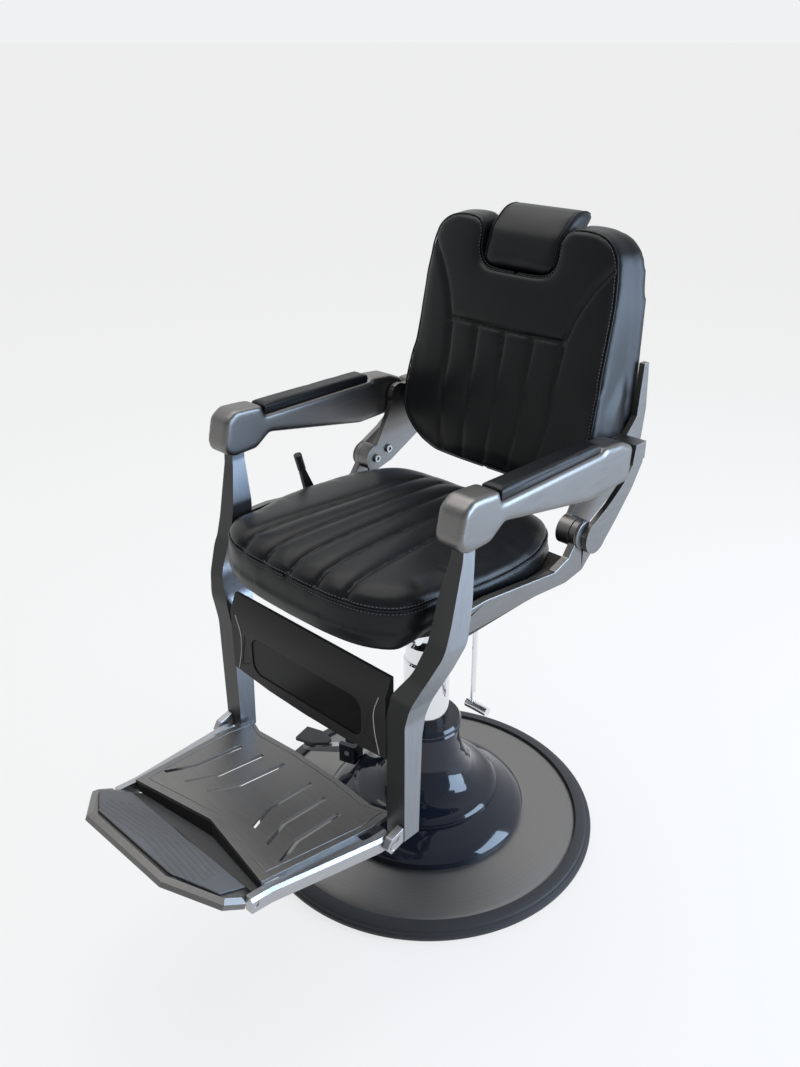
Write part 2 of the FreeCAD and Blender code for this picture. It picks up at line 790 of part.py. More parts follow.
def add_leaf(bracket, side):
    """The leaf of the bracket that hangs outside the rail and passes behind the arm."""
    hinge_y = dim.back_pivot_y
    hinge_z = dim.back_pivot_z
    arm_y = dim.arm_rear_y
    arm_z = dim.arm_rear_z
    inner = leaf_inner()
    thick = dim.leaf_thickness
    across = inner + thick - dim.bracket_inner
    add_pad(bracket, "YZ_Plane", [rectangle(arm_y + 55, arm_y + 87, arm_z - 18, arm_z + 14)],
            side_start(side, dim.bracket_inner, across), across)
    start = side_start(side, inner, thick)
    add_pad(bracket, "YZ_Plane", [[
        (arm_y + 55, arm_z + 14), (arm_y + 49, arm_z - 22), (arm_y + 25, arm_z - 49),
        (arm_y - 15, arm_z - 76),
        (hinge_y + 4, hinge_z + 17), (hinge_y + 46, hinge_z - 27), (arm_y + 13, arm_z - 110),
        (arm_y + 55, arm_z - 65),
        (arm_y + 81, arm_z - 25), (arm_y + 87, arm_z + 14),
    ]], start, thick)
    add_pad(bracket, "YZ_Plane", [circle(hinge_y + 22, hinge_z - 8, dim.leaf_radius)], start, thick)
    depth = dim.leaf_pin_depth + dim.seat_clearance
    hole = dim.pin_radius + dim.running_clearance
    add_cut(bracket, "YZ_Plane", [circle(hinge_y, hinge_z, hole)], side_start(side, inner, depth), depth)


def back_face(height):
    """How far back the leaning front face of the cushion lies at a height."""
    slope = math.tan(math.radians(dim.back_lean.value))
    return dim.back_knee_y + (as_size(height) - dim.back_knee_z) * slope


def make_back_cushion():
    gap = dim.seat_clearance
    rear = dim.shell_front - gap
    low = dim.back_low
    top = dim.back_top
    half = dim.back_half_width
    profile = blank_body()
    add_pad(profile, "YZ_Plane", [[
        (dim.lumbar_y + 4, low + 24), (dim.lumbar_y, dim.lumbar_z), (dim.back_knee_y, dim.back_knee_z),
        (back_face(top - 30), top - 30), (back_face(top) + 12, top), (rear, top),
        (rear, dim.lumbar_z), (rear - 40, low), (dim.lumbar_y + 24, low),
    ]], -half, 2 * half)
    corners = lambda edge: runs_along(1)(edge) and lies_at(2, low.value, top.value)(edge)
    round_edges(profile, dim.back_corner_radius, corners)
    notch = dim.headrest_half_width + dim.headrest_gap
    notch_low = dim.headrest_low - dim.headrest_gap
    add_cut(profile, "XZ_Plane", [rectangle(-notch, notch, notch_low, top + 10)], -rear - 20, 200)
    round_edges(profile, dim.headrest_corner_radius + dim.headrest_gap,
                lambda edge: runs_along(1)(edge) and lies_at(2, notch_low.value)(edge))
    # The sides lean in towards the front face
    front_half = dim.back_front_half_width
    depth = rear - dim.lumbar_y
    wedge = blank_body()
    add_pad(wedge, "XY_Plane", [[
        (-front_half, -20), (front_half, -20), (front_half, 0), (half, depth), (half, 2 * depth),
        (-half, 2 * depth), (-half, depth), (-front_half, 0),
    ]], dim.back_low - dim.back_knee_z - depth, dim.back_top - dim.back_low + 2 * depth)
    place(wedge, dim.back_knee_y, dim.back_knee_z, -dim.back_lean)
    common("back_cushion", profile, wedge)


def make_headrest():
    gap = dim.seat_clearance
    shell_rear = dim.shell_front + dim.shell_thickness
    wall = dim.guide_wall
    bar_front = shell_rear + wall
    bar_rear = bar_front + dim.headrest_bar_thickness
    bar_half = dim.headrest_bar_half_width
    guide_half = dim.guide_half_width
    slab("headrest_guide", [
        rectangle(-guide_half, guide_half, shell_rear, bar_rear + wall),
        rectangle(-bar_half - gap, bar_half + gap, bar_front - gap, bar_rear + gap),
    ], dim.guide_low, dim.guide_high - dim.guide_low)
    bar_top = dim.headrest_top - 12
    slab("headrest_bar", [rectangle(-bar_half, bar_half, bar_front, bar_rear)],
         dim.headrest_bar_low, bar_top - dim.headrest_bar_low)
    low = dim.headrest_low
    top = dim.headrest_top
    step = dim.shell_top + dim.headrest_gap
    pad = cross_block("headrest_cushion", [[
        (back_face(low), low), (dim.shell_front - dim.headrest_gap, low),
        (dim.shell_front - dim.headrest_gap, step), (bar_front, step), (bar_front, top - 12),
        (bar_front - 10, top), (back_face(top) + 6, top - 6), (back_face(top - 40) - 2, top - 40),
    ]], dim.headrest_half_width)
    half = dim.headrest_half_width.value
    lower = lambda edge: runs_along(1)(edge) and lies_at(2, low.value)(edge)
    round_edges(pad, dim.headrest_corner_radius, lower)
    ahead = dim.shell_front.value - 20
    round_edges(pad, 8, lambda edge: lies_at(0, -half, half)(edge) and edge.BoundBox.YMin < ahead)


# Arms, with a hollow over the top of each leg
def make_arms():
    front_y = dim.arm_front_y
    front_z = dim.arm_front_z
    rear_y = dim.arm_rear_y
    rear_z = dim.arm_rear_z
    width = dim.arm_width
    hole = dim.pin_radius + dim.running_clearance
    top = front_z + 24
    for name, side in SIDES:
        arm = side_plate("arm_" + name, side, [[
            (front_y - 40, front_z - 10), (front_y - 36, front_z - 28), (front_y - 14, front_z - 36),
            (front_y + 34, front_z - 34), (front_y + 66, front_z - 12), (rear_y - 96, rear_z - 40),
            (rear_y + 22, rear_z - 38), (rear_y + 26, rear_z + 26), (rear_y - 8, rear_z + 40),
            (dim.pad_back + 4, top + 6), (dim.pad_back + 2, top), (dim.pad_front - 2, top),
            (dim.pad_front - 8, top + 20), (front_y - 8, top + 24), (front_y - 30, top + 10),
        ]], dim.arm_inner, width)
        is_bulb = lambda edge: edge.BoundBox.YMax < front_y.value - 20
        corner = lambda edge: runs_along(0)(edge) and is_outer_corner(edge)
        round_edges(arm, dim.arm_bulb_radius, lambda edge: corner(edge) and is_bulb(edge))
        round_edges(arm, dim.arm_corner_radius, lambda edge: corner(edge) and not is_bulb(edge))
        faces = [side_start(side, dim.arm_inner, width).value]
        faces.append(faces[0] + width.value)
        round_edges(arm, dim.arm_edge_radius, lies_at(0, *faces))
        hollow_width = width - 22
        hollow = side_start(side, dim.arm_inner + 11, hollow_width)
        # The leg turns further than the arm, so the hollow widens forward at its mouth
        add_cut(arm, "YZ_Plane", [[
            (front_y - 28, front_z - 60), (front_y - 28, front_z - 26), (front_y - 18, front_z + 24),
            (front_y + 24, front_z + 24), (front_y + 22, front_z - 60),
        ]], hollow, hollow_width)
        depth = width - dim.arm_outer_skin + dim.seat_clearance
        start = side_start(side, dim.arm_inner - 1, depth + 1)
        add_cut(arm, "YZ_Plane", [circle(rear_y, rear_z, hole)], start, depth + 1)
        pin_hole = side_start(side, dim.arm_inner + 3, width - 6)
        front_hole = dim.arm_front_pin_radius + dim.running_clearance
        add_cut(arm, "YZ_Plane", [circle(front_y, front_z, front_hole)], pin_hole, width - 6)
        pin("arm_front_pin_" + name, pin_hole, width - 6, front_y, front_z, dim.arm_front_pin_radius)
        centre = dim.arm_inner + width / 2
        pad = side_plate("arm_pad_" + name, side, [
            [(dim.pad_front, top), (dim.pad_back, top), (dim.pad_back, top + dim.pad_height - 4),
             (dim.pad_front, top + dim.pad_height)],
        ], centre - dim.pad_half_width, 2 * dim.pad_half_width)
        round_edges(pad, 4, lambda edge: edge.BoundBox.ZMin > top.value + 2)


def is_outer_corner(edge):
    """The recess that the arm pad lies in keeps its sharp corners."""
    y = edge.BoundBox.YMin
    z = edge.BoundBox.ZMin
    recess = dim.arm_front_z.value + 24
    in_recess = dim.pad_front.value - 9 < y < dim.pad_back.value + 5
    return not (in_recess and z > recess - 1)


# Legs: bent posts, calf panel and pad
def make_legs():
    for name, side in SIDES:
        make_leg_post(name, side)
    front = dim.calf_front
    half = dim.calf_half_width
    rear = front + dim.calf_thickness
    top = dim.calf_top
    panel = new_body("calf_panel")
    arch = 12
    add_pad(panel, "XZ_Plane", [[
        (-half, dim.calf_top), (-half, dim.calf_low), (-half / 2, dim.calf_low - arch * 0.8),
        (0, dim.calf_low - arch),
        (half / 2, dim.calf_low - arch * 0.8), (half, dim.calf_low), (half, dim.calf_top),
    ]], -rear, dim.calf_thickness)
    add_cut(panel, "YZ_Plane", [[
        (front - 1, top - dim.calf_ledge_height), (front + dim.calf_ledge_depth, top + 1),
        (front - 1, top + 1)]],
        -half - 1, 2 * half + 2)
    pad_half = dim.calf_pad_half_width
    pad_low = dim.calf_low + 12
    pad_top = pad_low + dim.calf_pad_height
    recess = dim.calf_recess_depth
    rim = pad_half + 1
    add_cut(panel, "XZ_Plane", [rectangle(-rim, rim, pad_low - 1, pad_top + 1)], -front - recess, recess + 1)
    round_edges(panel, dim.calf_pad_corner_radius + 1,
                lambda edge: runs_along(1)(edge) and lies_at(0, -rim.value, rim.value)(edge))
    mark = dim.calf_mark_depth
    for name, side in SIDES:
        add_cut(panel, "XZ_Plane", [[
            (side * (rim + 18), pad_top - 4), (side * (rim + 4), pad_low + 14),
            (side * (rim + 32), pad_low + 2)]],
            -front - mark, mark + 1)
    pad = new_body("calf_pad")
    add_pad(pad, "XZ_Plane", [rectangle(-pad_half, pad_half, pad_low, pad_top)], -front - recess,
            dim.calf_pad_thickness)
    round_edges(pad, dim.calf_pad_corner_radius, runs_along(1))
    length = dim.knuckle_width + dim.joint_clearance + dim.foot_arm_width
    pin_pair("foot_pins", dim.foot_arm_inner, length, dim.foot_pivot_y, dim.foot_pivot_z, dim.foot_pin_radius)


def make_leg_post(name, side):
    """A bent post: what its side outline and its front outline have in common."""
    leg_z = dim.leg_pivot_z
    leg_y = dim.leg_pivot_y
    middle = dim.cradle_half_width + dim.rail_thickness / 2
    calf = dim.calf_half_width + dim.seat_clearance
    top = dim.leg_top
    foot = dim.leg_foot
    bends = lambda edge: foot.value + 1 < edge.BoundBox.ZMin < top.value - 1
    blank_start = side_start(side, calf - 10, 110)
    blank = blank_body()
    add_pad(blank, "YZ_Plane", [[
        (leg_y + 4, top), (leg_y, top - 70), (leg_y - 21, leg_z + 20), (leg_y - 31, leg_z - 15),
        (leg_y - 64, leg_z - 77), (leg_y - 76, leg_z - 112), (leg_y - 75, leg_z - 180), (leg_y - 74, foot),
        (leg_y - 39, foot), (leg_y - 34, leg_z - 200), (leg_y - 22, leg_z - 135), (leg_y + 4, leg_z - 68),
        (leg_y + 20, leg_z - 20), (leg_y + 27, leg_z + 40), (leg_y + 28, top),
    ]], blank_start, 110)
    round_edges(blank, dim.leg_bend_radius, lambda edge: runs_along(0)(edge) and bends(edge))
    # Fork for the rail
    slot = dim.rail_thickness + 2 * dim.joint_clearance
    slot_start = side_start(side, middle - slot / 2, slot)
    room = dim.rail_boss_radius + 1.5
    add_cut(blank, "YZ_Plane", [circle(leg_y, leg_z, room)], slot_start, slot)
    add_cut(blank, "YZ_Plane", [[
        (leg_y, leg_z - room), (leg_y + 60, leg_z - room), (leg_y + 60, leg_z + room + 30),
        (leg_y - 8, leg_z + room - 1)]],
        slot_start, slot)
    hole = dim.pin_radius + dim.running_clearance
    reach = dim.rail_thickness / 2 + dim.leg_pin_reach + dim.seat_clearance + 40
    add_cut(blank, "YZ_Plane", [circle(leg_y, leg_z, hole)], side_start(side, middle - 40, reach), reach)
    play = dim.arm_front_pin_radius + dim.arm_front_play
    add_cut(blank, "YZ_Plane", [circle(dim.arm_front_y, dim.arm_front_z, play)], blank_start, 110)
    front = blank_body()
    outline = [
        (middle + 20, top), (middle + 18, leg_z - 30), (calf + 72, leg_z - 70), (calf + 50, leg_z - 127),
        (calf + 41, leg_z - 160), (calf + 40, foot), (calf, foot), (calf, leg_z - 165),
        (calf + 12, leg_z - 110), (calf + 41, leg_z - 66), (middle - 19, leg_z - 25),
        (middle - 16, leg_z + 50),
        (middle - 4, top - 62), (middle - 4, top),
    ]
    add_pad(front, "XZ_Plane", [[(side * across, up) for across, up in outline]], -leg_y - 60, 160)
    round_edges(front, dim.leg_bend_radius, lambda edge: runs_along(1)(edge) and bends(edge))
    common("leg_post_" + name, blank, front)
    # Knuckle for the footrest, seated on the front of the post
    knuckle_inner = dim.foot_arm_inner + dim.foot_arm_width + dim.joint_clearance
    foot_y = dim.foot_pivot_y
    foot_z = dim.foot_pivot_z
    foot_hole = dim.foot_pin_radius + dim.running_clearance
    seat = leg_y - 74 - dim.seat_clearance
    side_plate("foot_knuckle_" + name, side, [[
        (seat, foot), (foot_y - 6, foot - 8), (foot_y - 16, foot_z), (foot_y - 6, foot_z + 16),
        (seat, foot_z + 24),
    ], circle(foot_y, foot_z, foot_hole)], knuckle_inner, dim.knuckle_width)


# Footrest: slotted plate, side arms, toe plate and tread
def make_footrest():
    nose = dim.foot_plate_half_width - 17
    loops = [foot_outline(0)]
    half = dim.foot_slot_width / 2
    for i in range(3):
        x = 37 + 47 * i
        y = -5 - 11 * i
        knee = (x + 4, y - 98)
        tip = (x + 26, y - 152)
        for mirror in (1, -1):
            edge = [(x, y), knee, tip]
            loops.append([(mirror * across + half, up) for across, up in edge]
                         + [(mirror * across - half, up) for across, up in reversed(edge)])
    y = dim.foot_pivot_y
    z = dim.foot_pivot_z
    low = dim.foot_arm_low + dim.foot_arm_height
    plate = slab("foot_plate", loops, low, dim.foot_plate_thickness)
    depth = dim.foot_bead_depth
    bead = [foot_outline(dim.foot_bead_inset), foot_outline(dim.foot_bead_inset + dim.foot_bead_width)]
    add_cut(plate, "XY_Plane", bead, low + dim.foot_plate_thickness - depth, depth + 1)
    place(plate, y, z, dim.foot_tilt)
    make_foot_arms(low, nose)
    make_toe()


def foot_outline(inset):
    """The foot plate's outline, drawn in by an inset."""
    half = dim.foot_plate_half_width - inset
    rear = dim.foot_plate_rear - inset
    front = dim.foot_plate_front + inset * 1.4
    nose = half - 17
    right = [(nose, front), (half + 4, rear - 48), (half, rear + 6), (half - 38, rear - 8), (60, rear)]
    left = [(-across, up) for across, up in reversed(right)]
    return right + left + [(0, front + dim.foot_plate_notch)]


def make_foot_arms(top, nose):
    inner = dim.foot_arm_inner
    width = dim.foot_arm_width
    reach = dim.toe_pivot_reach
    hole = dim.foot_pin_radius + dim.running_clearance
    toe_hole = dim.toe_pin_radius + dim.running_clearance
    low = dim.foot_arm_low
    for name, side in SIDES:
        outline = [
            (inner, 13), (inner, -24), (nose + 1, reach + 30), (nose + 1, reach - 8), (nose + 17, reach - 8),
            (nose + 18, reach + 30), (inner + width, -16), (inner + width, 13),
        ]
        turned_outline = [(side * across, up) for across, up in outline]
        arm = slab("foot_arm_" + name, [turned_outline], low, dim.foot_arm_height)
        add_pad(arm, "XY_Plane", [[(side * across, up) for across, up in (
            (nose - 26, -40), (nose - 26, reach + 60), (nose + 4, reach + 60), (inner + 4, -40))]],
            top - 8, 8)
        outer = lambda edge: lies_at(2, top.value)(edge) and abs(edge.CenterOfMass.x) > nose.value + 12
        bevel_edges(arm, dim.foot_arm_bevel, outer)
        across = side_start(side, nose - 30, 90)
        add_cut(arm, "YZ_Plane", [circle(0, 0, hole)], across, 90)
        add_cut(arm, "YZ_Plane", [circle(reach, 0, toe_hole)], across, 90)
        place(arm, dim.foot_pivot_y, dim.foot_pivot_z, dim.foot_tilt)
    toe_y, toe_z = toe_pivot()
    pin_pair("toe_pins", nose - 10, 26, toe_y, toe_z, dim.toe_pin_radius)


def toe_pivot():
    """The toe plate's hinge, carried by the front ends of the tilted foot arms."""
    tilt = math.radians(dim.foot_tilt.value)
    reach = dim.toe_pivot_reach
    return dim.foot_pivot_y + reach * math.cos(tilt), dim.foot_pivot_z + reach * math.sin(tilt)


def make_toe():
    rear_half = dim.toe_rear_half_width
    front_half = dim.toe_front_half_width
    lug = dim.foot_plate_half_width - 17
    thick = dim.toe_thickness
    length = dim.toe_length
    toe = slab("toe_plate", [[
        (lug, 6), (lug, -18), (rear_half, -18), (rear_half - 4, -length / 2), (front_half, -length),
        (-front_half, -length), (4 - rear_half, -length / 2), (-rear_half, -18), (-lug, -18), (-lug, 6),
    ]], -thick / 2, thick)
    rim = lambda edge: lies_at(2, thick.value / 2)(edge) and edge.BoundBox.YMax < -17
    bevel_edges(toe, dim.toe_rim_bevel, rim)
    # The apron reaches under the notch of the foot plate
    apron = lug - 20
    loop = [(apron, 6), (0, dim.toe_apron_reach), (-apron, 6), (-apron, -10), (apron, -10)]
    add_pad(toe, "XY_Plane", [loop], -thick / 2, dim.toe_apron_thickness)
    hole = dim.toe_pin_radius + dim.running_clearance
    add_cut(toe, "YZ_Plane", [circle(0, 0, hole)], -lug - 1, 16)
    add_cut(toe, "YZ_Plane", [circle(0, 0, hole)], lug - 15, 16)
    inset = dim.tread_inset
    tread = slab("toe_tread", [[
        (lug - inset, 0), (rear_half - 4 - inset, -length / 2), (front_half - inset / 3, -length + inset),
        (inset / 3 - front_half, -length + inset), (4 - rear_half + inset, -length / 2), (inset - lug, 0),
    ]], thick / 2, dim.tread_thickness)
    pivot = toe_pivot()
    for body in (toe, tread):
        place(body, pivot[0], pivot[1], dim.foot_tilt + dim.toe_tilt)


# Recline lever outside the right rail
def make_recline_lever():
    y = dim.lever_pivot_y
    z = dim.lever_pivot_z
    hole = dim.lever_pin_radius + dim.running_clearance
    inner = dim.cradle_half_width + dim.rail_thickness + dim.joint_clearance
    thick = dim.lever_thickness
    reach = dim.lever_reach
    lever = side_plate("recline_lever", -1, [[
        (y - 12, z - 10), (y + 12, z - 10), (y + 12, z + 12), (y - 14, z + reach),
        (y - 26, z + reach), (y - 12, z + 8),
    ], circle(y, z, hole)], inner, thick)
    round_edges(lever, 5, runs_along(0))
    grip = doc.addObject("Part::Cylinder", "Grip")
    grip.Placement = FreeCAD.Placement(FreeCAD.Vector(), FreeCAD.Rotation(FreeCAD.Vector(1, 0, 0), 16))
    bind(grip, "Radius", dim.lever_grip_radius)
    bind(grip, "Height", dim.lever_grip_length)
    bind(grip, "Placement.Base.x", -(inner + thick / 2))
    bind(grip, "Placement.Base.y", y - 20)
    bind(grip, "Placement.Base.z", z + reach + 0.6)
    keep(grip, "lever_grip")
    length = dim.joint_clearance + thick + dim.rail_thickness
    pin("lever_pin", side_start(-1, dim.cradle_half_width, length), length, y, z, dim.lever_pin_radius)
    rail = [node for node in NODES if node.Label == "side_rail_right"][0]
    start = side_start(-1, dim.cradle_half_width, dim.rail_thickness)
    add_cut(rail, "YZ_Plane", [circle(y, z, hole)], start, dim.rail_thickness)


def export():
    doc.recompute()
    for thing in doc.Objects:
        if "Invalid" in thing.State or "Error" in thing.State:
            raise RuntimeError("%s did not build: %s" % (thing.Label, thing.State))
    for node in NODES:
        if node.Shape.isNull() or not node.Shape.isValid():
            raise RuntimeError("%s has no valid shape" % node.Label)
        node.Shape.exportStep("parts/%s.step" % node.Label)
    print("%d pieces" % len(NODES))


make_base()
make_lift()
make_pump()
make_seat_frame()
make_back()
make_arms()
make_legs()
make_footrest()
make_recline_lever()
export()
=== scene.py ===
import json
import math

import bmesh
import bpy
from bpy.props import FloatProperty, FloatVectorProperty, PointerProperty
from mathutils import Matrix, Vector
from mathutils.bvhtree import BVHTree
from mathutils.kdtree import KDTree


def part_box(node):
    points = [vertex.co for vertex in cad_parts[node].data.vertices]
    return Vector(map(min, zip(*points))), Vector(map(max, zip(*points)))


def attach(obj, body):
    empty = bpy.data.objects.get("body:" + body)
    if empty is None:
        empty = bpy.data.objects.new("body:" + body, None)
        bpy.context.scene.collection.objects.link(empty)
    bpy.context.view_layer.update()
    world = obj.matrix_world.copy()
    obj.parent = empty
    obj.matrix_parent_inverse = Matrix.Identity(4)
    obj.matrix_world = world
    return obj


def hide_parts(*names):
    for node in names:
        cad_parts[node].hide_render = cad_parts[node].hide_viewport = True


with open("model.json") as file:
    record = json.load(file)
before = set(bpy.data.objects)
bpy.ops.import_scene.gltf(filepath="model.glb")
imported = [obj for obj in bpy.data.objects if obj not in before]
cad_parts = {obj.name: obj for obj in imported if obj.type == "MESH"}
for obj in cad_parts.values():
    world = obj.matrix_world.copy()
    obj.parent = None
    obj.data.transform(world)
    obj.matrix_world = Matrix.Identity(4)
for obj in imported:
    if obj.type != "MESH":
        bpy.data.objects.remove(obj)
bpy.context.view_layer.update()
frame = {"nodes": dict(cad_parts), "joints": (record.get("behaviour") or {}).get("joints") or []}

bl_info = {
    "name": "Barber Chair",
    "version": (1, 0, 0),
    "blender": (4, 5, 0),
    "location": "View3D > Sidebar > Barber Chair",
    "description": "Upholsters, trims and finishes a hydraulic barber chair",
    "category": "Add Mesh",
}

SIDES = {"left": 1, "right": -1}
JOINTS = {joint["name"]: joint for joint in frame["joints"]}


# Settings that a user would change
def length(name, description, default):
    return FloatProperty(
        name=name, description=description, default=default, min=0, precision=4, unit="LENGTH")


def colour(name, description, default):
    return FloatVectorProperty(
        name=name, description=description, default=default, min=0, max=1, subtype="COLOR")


def power(name, description, default):
    return FloatProperty(name=name, description=description, default=default, unit="POWER")


def fraction(name, description, default):
    return FloatProperty(
        name=name, description=description, default=default, min=0, max=1, subtype="FACTOR")


class Upholstery(bpy.types.PropertyGroup):
    """Sizes of the sewn pieces"""
    cell: length("Mesh cell", "Size of the faces that a cushion is cut into", 0.006)
    seat_crown: length("Seat crown", "How far the middle of the seat stands over its edges", 0.012)
    back_crown: length("Back crown", "How far the middle of the back stands proud of its edges", 0.012)
    channel_pitch: length("Channel pitch", "Distance between the sewn channels", 0.062)
    seat_channel_depth: length("Seat channel depth", "Depth of the seat's channels at the front", 0.012)
    back_channel_depth: length("Back channel depth", "Depth of the back's channels under the yoke", 0.010)
    headrest_reach: length("Headrest reach", "How far the headrest laps over the top of the back", 0.034)
    headrest_swell: length("Headrest swell", "How far the headrest's front stands out of the notch", 0.022)
    seam_depth: length("Seam depth", "Depth of a sewn seam", 0.003)
    seam_width: length("Seam width", "How far a seam pulls the leather in to each side", 0.0045)
    stitch: length("Stitch", "Length of one stitch", 0.0042)
    stitch_gap: length("Stitch gap", "Space between two stitches", 0.0020)
    thread: length("Thread", "Radius of the sewing thread", 0.00055)
    stitch_row: length("Stitch row", "Distance of a stitch row from its seam", 0.0050)


class Finishes(bpy.types.PropertyGroup):
    """Colours of the chair"""
    leather: colour("Leather", "Smooth black upholstery", (0.0050, 0.0055, 0.0065))
    thread: colour("Thread", "Sewing thread", (0.11, 0.115, 0.125))
    gunmetal: colour("Gunmetal", "Dark brushed castings", (0.190, 0.186, 0.183))
    bare_edge: colour("Bare edge", "Metal worn bright along its edges", (0.55, 0.55, 0.56))
    silver: colour("Silver", "Bright brushed metal of the footrest's sides", (0.42, 0.43, 0.45))
    post_black: colour("Post black", "Satin black front of the legs", (0.020, 0.020, 0.020))
    post_steel: colour("Post steel", "Brushed sides of the legs", (0.27, 0.285, 0.31))
    gloss_black: colour("Gloss black", "Lacquer of the pedestal", (0.006, 0.008, 0.014))
    chrome: colour("Chrome", "Polished ram, boss and rods", (0.80, 0.81, 0.83))
    rubber: colour("Rubber", "Floor ring and treads", (0.022, 0.022, 0.024))
    tread: colour("Tread", "Grey rubber of the toe rest", (0.085, 0.086, 0.088))
    plastic: colour("Plastic", "Moulded black pieces", (0.014, 0.014, 0.015))
    plywood: colour("Plywood", "Board under the seat", (0.030, 0.025, 0.020))


class Studio(bpy.types.PropertyGroup):
    """Floor, lights and camera"""
    floor: colour("Floor", "Pale floor", (0.84, 0.84, 0.84))
    backdrop: colour("Backdrop", "Colour that the floor is lifted towards", (0.93, 0.93, 0.93))
    floor_lift: fraction("Floor lift", "How far the floor is lifted towards the backdrop", 0.80)
    room_rear: fraction("Room behind", "Brightness of the room behind the chair", 0.89)
    room_front: fraction("Room in front", "Brightness of the room at the camera", 0.36)
    ceiling_power: power("Ceiling", "Power of the light overhead", 34)
    window_power: power("Window", "Power of the light at the right", 116)
    window: colour("Window colour", "Cool light from the right", (0.56, 0.75, 1.0))
    camera_place: FloatVectorProperty(
        name="Camera", description="Where the camera stands", default=(1.1111, -1.2442, 1.4987),
        subtype="TRANSLATION")
    camera_aim: FloatVectorProperty(
        name="Aim", description="Direction that the camera looks in", default=(-0.6166, 0.6480, -0.4471),
        subtype="DIRECTION")
    camera_lens: FloatProperty(
        name="Lens", description="Focal length in millimetres", default=34.0, unit="CAMERA")


# Node tools
def add_node(tree, kind, settings=None, **sockets):
    """A node with its settings and sockets: a socket takes a number, a colour or another node's output."""
    node = tree.nodes.new(kind)
    for name, value in (settings or {}).items():
        setattr(node, name, value)
    for name, value in sockets.items():
        socket = node.inputs[int(name[1:])] if name[0] == "_" else node.inputs[name.replace("_", " ")]
        if isinstance(value, bpy.types.NodeSocket):
            tree.links.new(value, socket)
        else:
            socket.default_value = value
    return node


def calculate(tree, operation, first, second=0.0, clamp=False):
    node = add_node(tree, "ShaderNodeMath", {"operation": operation, "use_clamp": clamp}, _0=first, _1=second)
    return node.outputs[0]


def spread(tree, value, low, high):
    """Map a value between 0 and 1 onto a range."""
    node = add_node(tree, "ShaderNodeMapRange", None, Value=value, _3=low, _4=high)
    return node.outputs[0]


def blend_colours(tree, factor, first, second):
    node = add_node(tree, "ShaderNodeMix", {"data_type": "RGBA"}, _0=factor, _6=first, _7=second)
    return node.outputs[2]


def noise(tree, vector, scale, detail=3.0, roughness=0.55):
    node = add_node(tree, "ShaderNodeTexNoise", None, Vector=vector, Scale=scale, Detail=detail,
                    Roughness=roughness)
    return node.outputs["Fac"]


def object_place(tree):
    return add_node(tree, "ShaderNodeTexCoord").outputs["Object"]


def new_effect(name, inputs, outputs):
    """A shader node group with named sockets."""
    tree = bpy.data.node_groups.new(name, "ShaderNodeTree")
    for label, kind, default in inputs:
        socket = tree.interface.new_socket(label, in_out="INPUT", socket_type="NodeSocket" + kind)
        socket.default_value = default
    for label in outputs:
        tree.interface.new_socket(label, in_out="OUTPUT", socket_type="NodeSocketFloat")
    enter = tree.nodes.new("NodeGroupInput").outputs
    leave = tree.nodes.new("NodeGroupOutput").inputs
    return tree, enter, leave


def make_brushing():
    """Long scratches of a wire brush, with broad cloudy patches."""
    tree, enter, leave = new_effect("Brushing", [
        ("Stretch", "Vector", (1.0, 1.0, 1.0)), ("Fineness", "Float", 300.0)], ["Streaks", "Patches"])
    place = object_place(tree)
    along = add_node(tree, "ShaderNodeMapping", None, Vector=place, Scale=enter["Stretch"])
    tree.links.new(noise(tree, along.outputs[0], enter["Fineness"], 4.0, 0.65), leave["Streaks"])
    tree.links.new(noise(tree, place, 14.0, 4.0), leave["Patches"])
    return tree


def make_turning():
    """Fine rings left by turning about the column."""
    tree, enter, leave = new_effect("Turning", [("Fineness", "Float", 500.0)], ["Streaks", "Patches"])
    place = object_place(tree)
    flat = add_node(tree, "ShaderNodeVectorMath", {"operation": "MULTIPLY"}, _0=place, _1=(1.0, 1.0, 0.0))
    radius = add_node(tree, "ShaderNodeVectorMath", {"operation": "LENGTH"}, _0=flat.outputs[0])
    rings = add_node(tree, "ShaderNodeTexNoise", {"noise_dimensions": "1D"}, W=radius.outputs["Value"],
                     Scale=enter["Fineness"], Detail=4.0, Roughness=0.7)
    tree.links.new(rings.outputs["Fac"], leave["Streaks"])
    tree.links.new(noise(tree, place, 10.0, 4.0), leave["Patches"])
    return tree


def make_edge_wear():
    """A broken mask along the edges."""
    tree, enter, leave = new_effect("Edge Wear", [
        ("Reach", "Float", 0.002), ("Amount", "Float", 3.0)], ["Mask"])
    soft = add_node(tree, "ShaderNodeBevel", {"samples": 4}, Radius=enter["Reach"])
    hard = add_node(tree, "ShaderNodeNewGeometry")
    bend = add_node(tree, "ShaderNodeVectorMath", {"operation": "DOT_PRODUCT"},
                    _0=soft.outputs["Normal"], _1=hard.outputs["Normal"])
    turn = calculate(tree, "SUBTRACT", 1.0, bend.outputs["Value"])
    strong = calculate(tree, "MULTIPLY", turn, enter["Amount"], True)
    broken = spread(tree, noise(tree, object_place(tree), 160.0, 3.0), -0.2, 1.3)
    tree.links.new(calculate(tree, "MULTIPLY", strong, broken, True), leave["Mask"])
    return tree


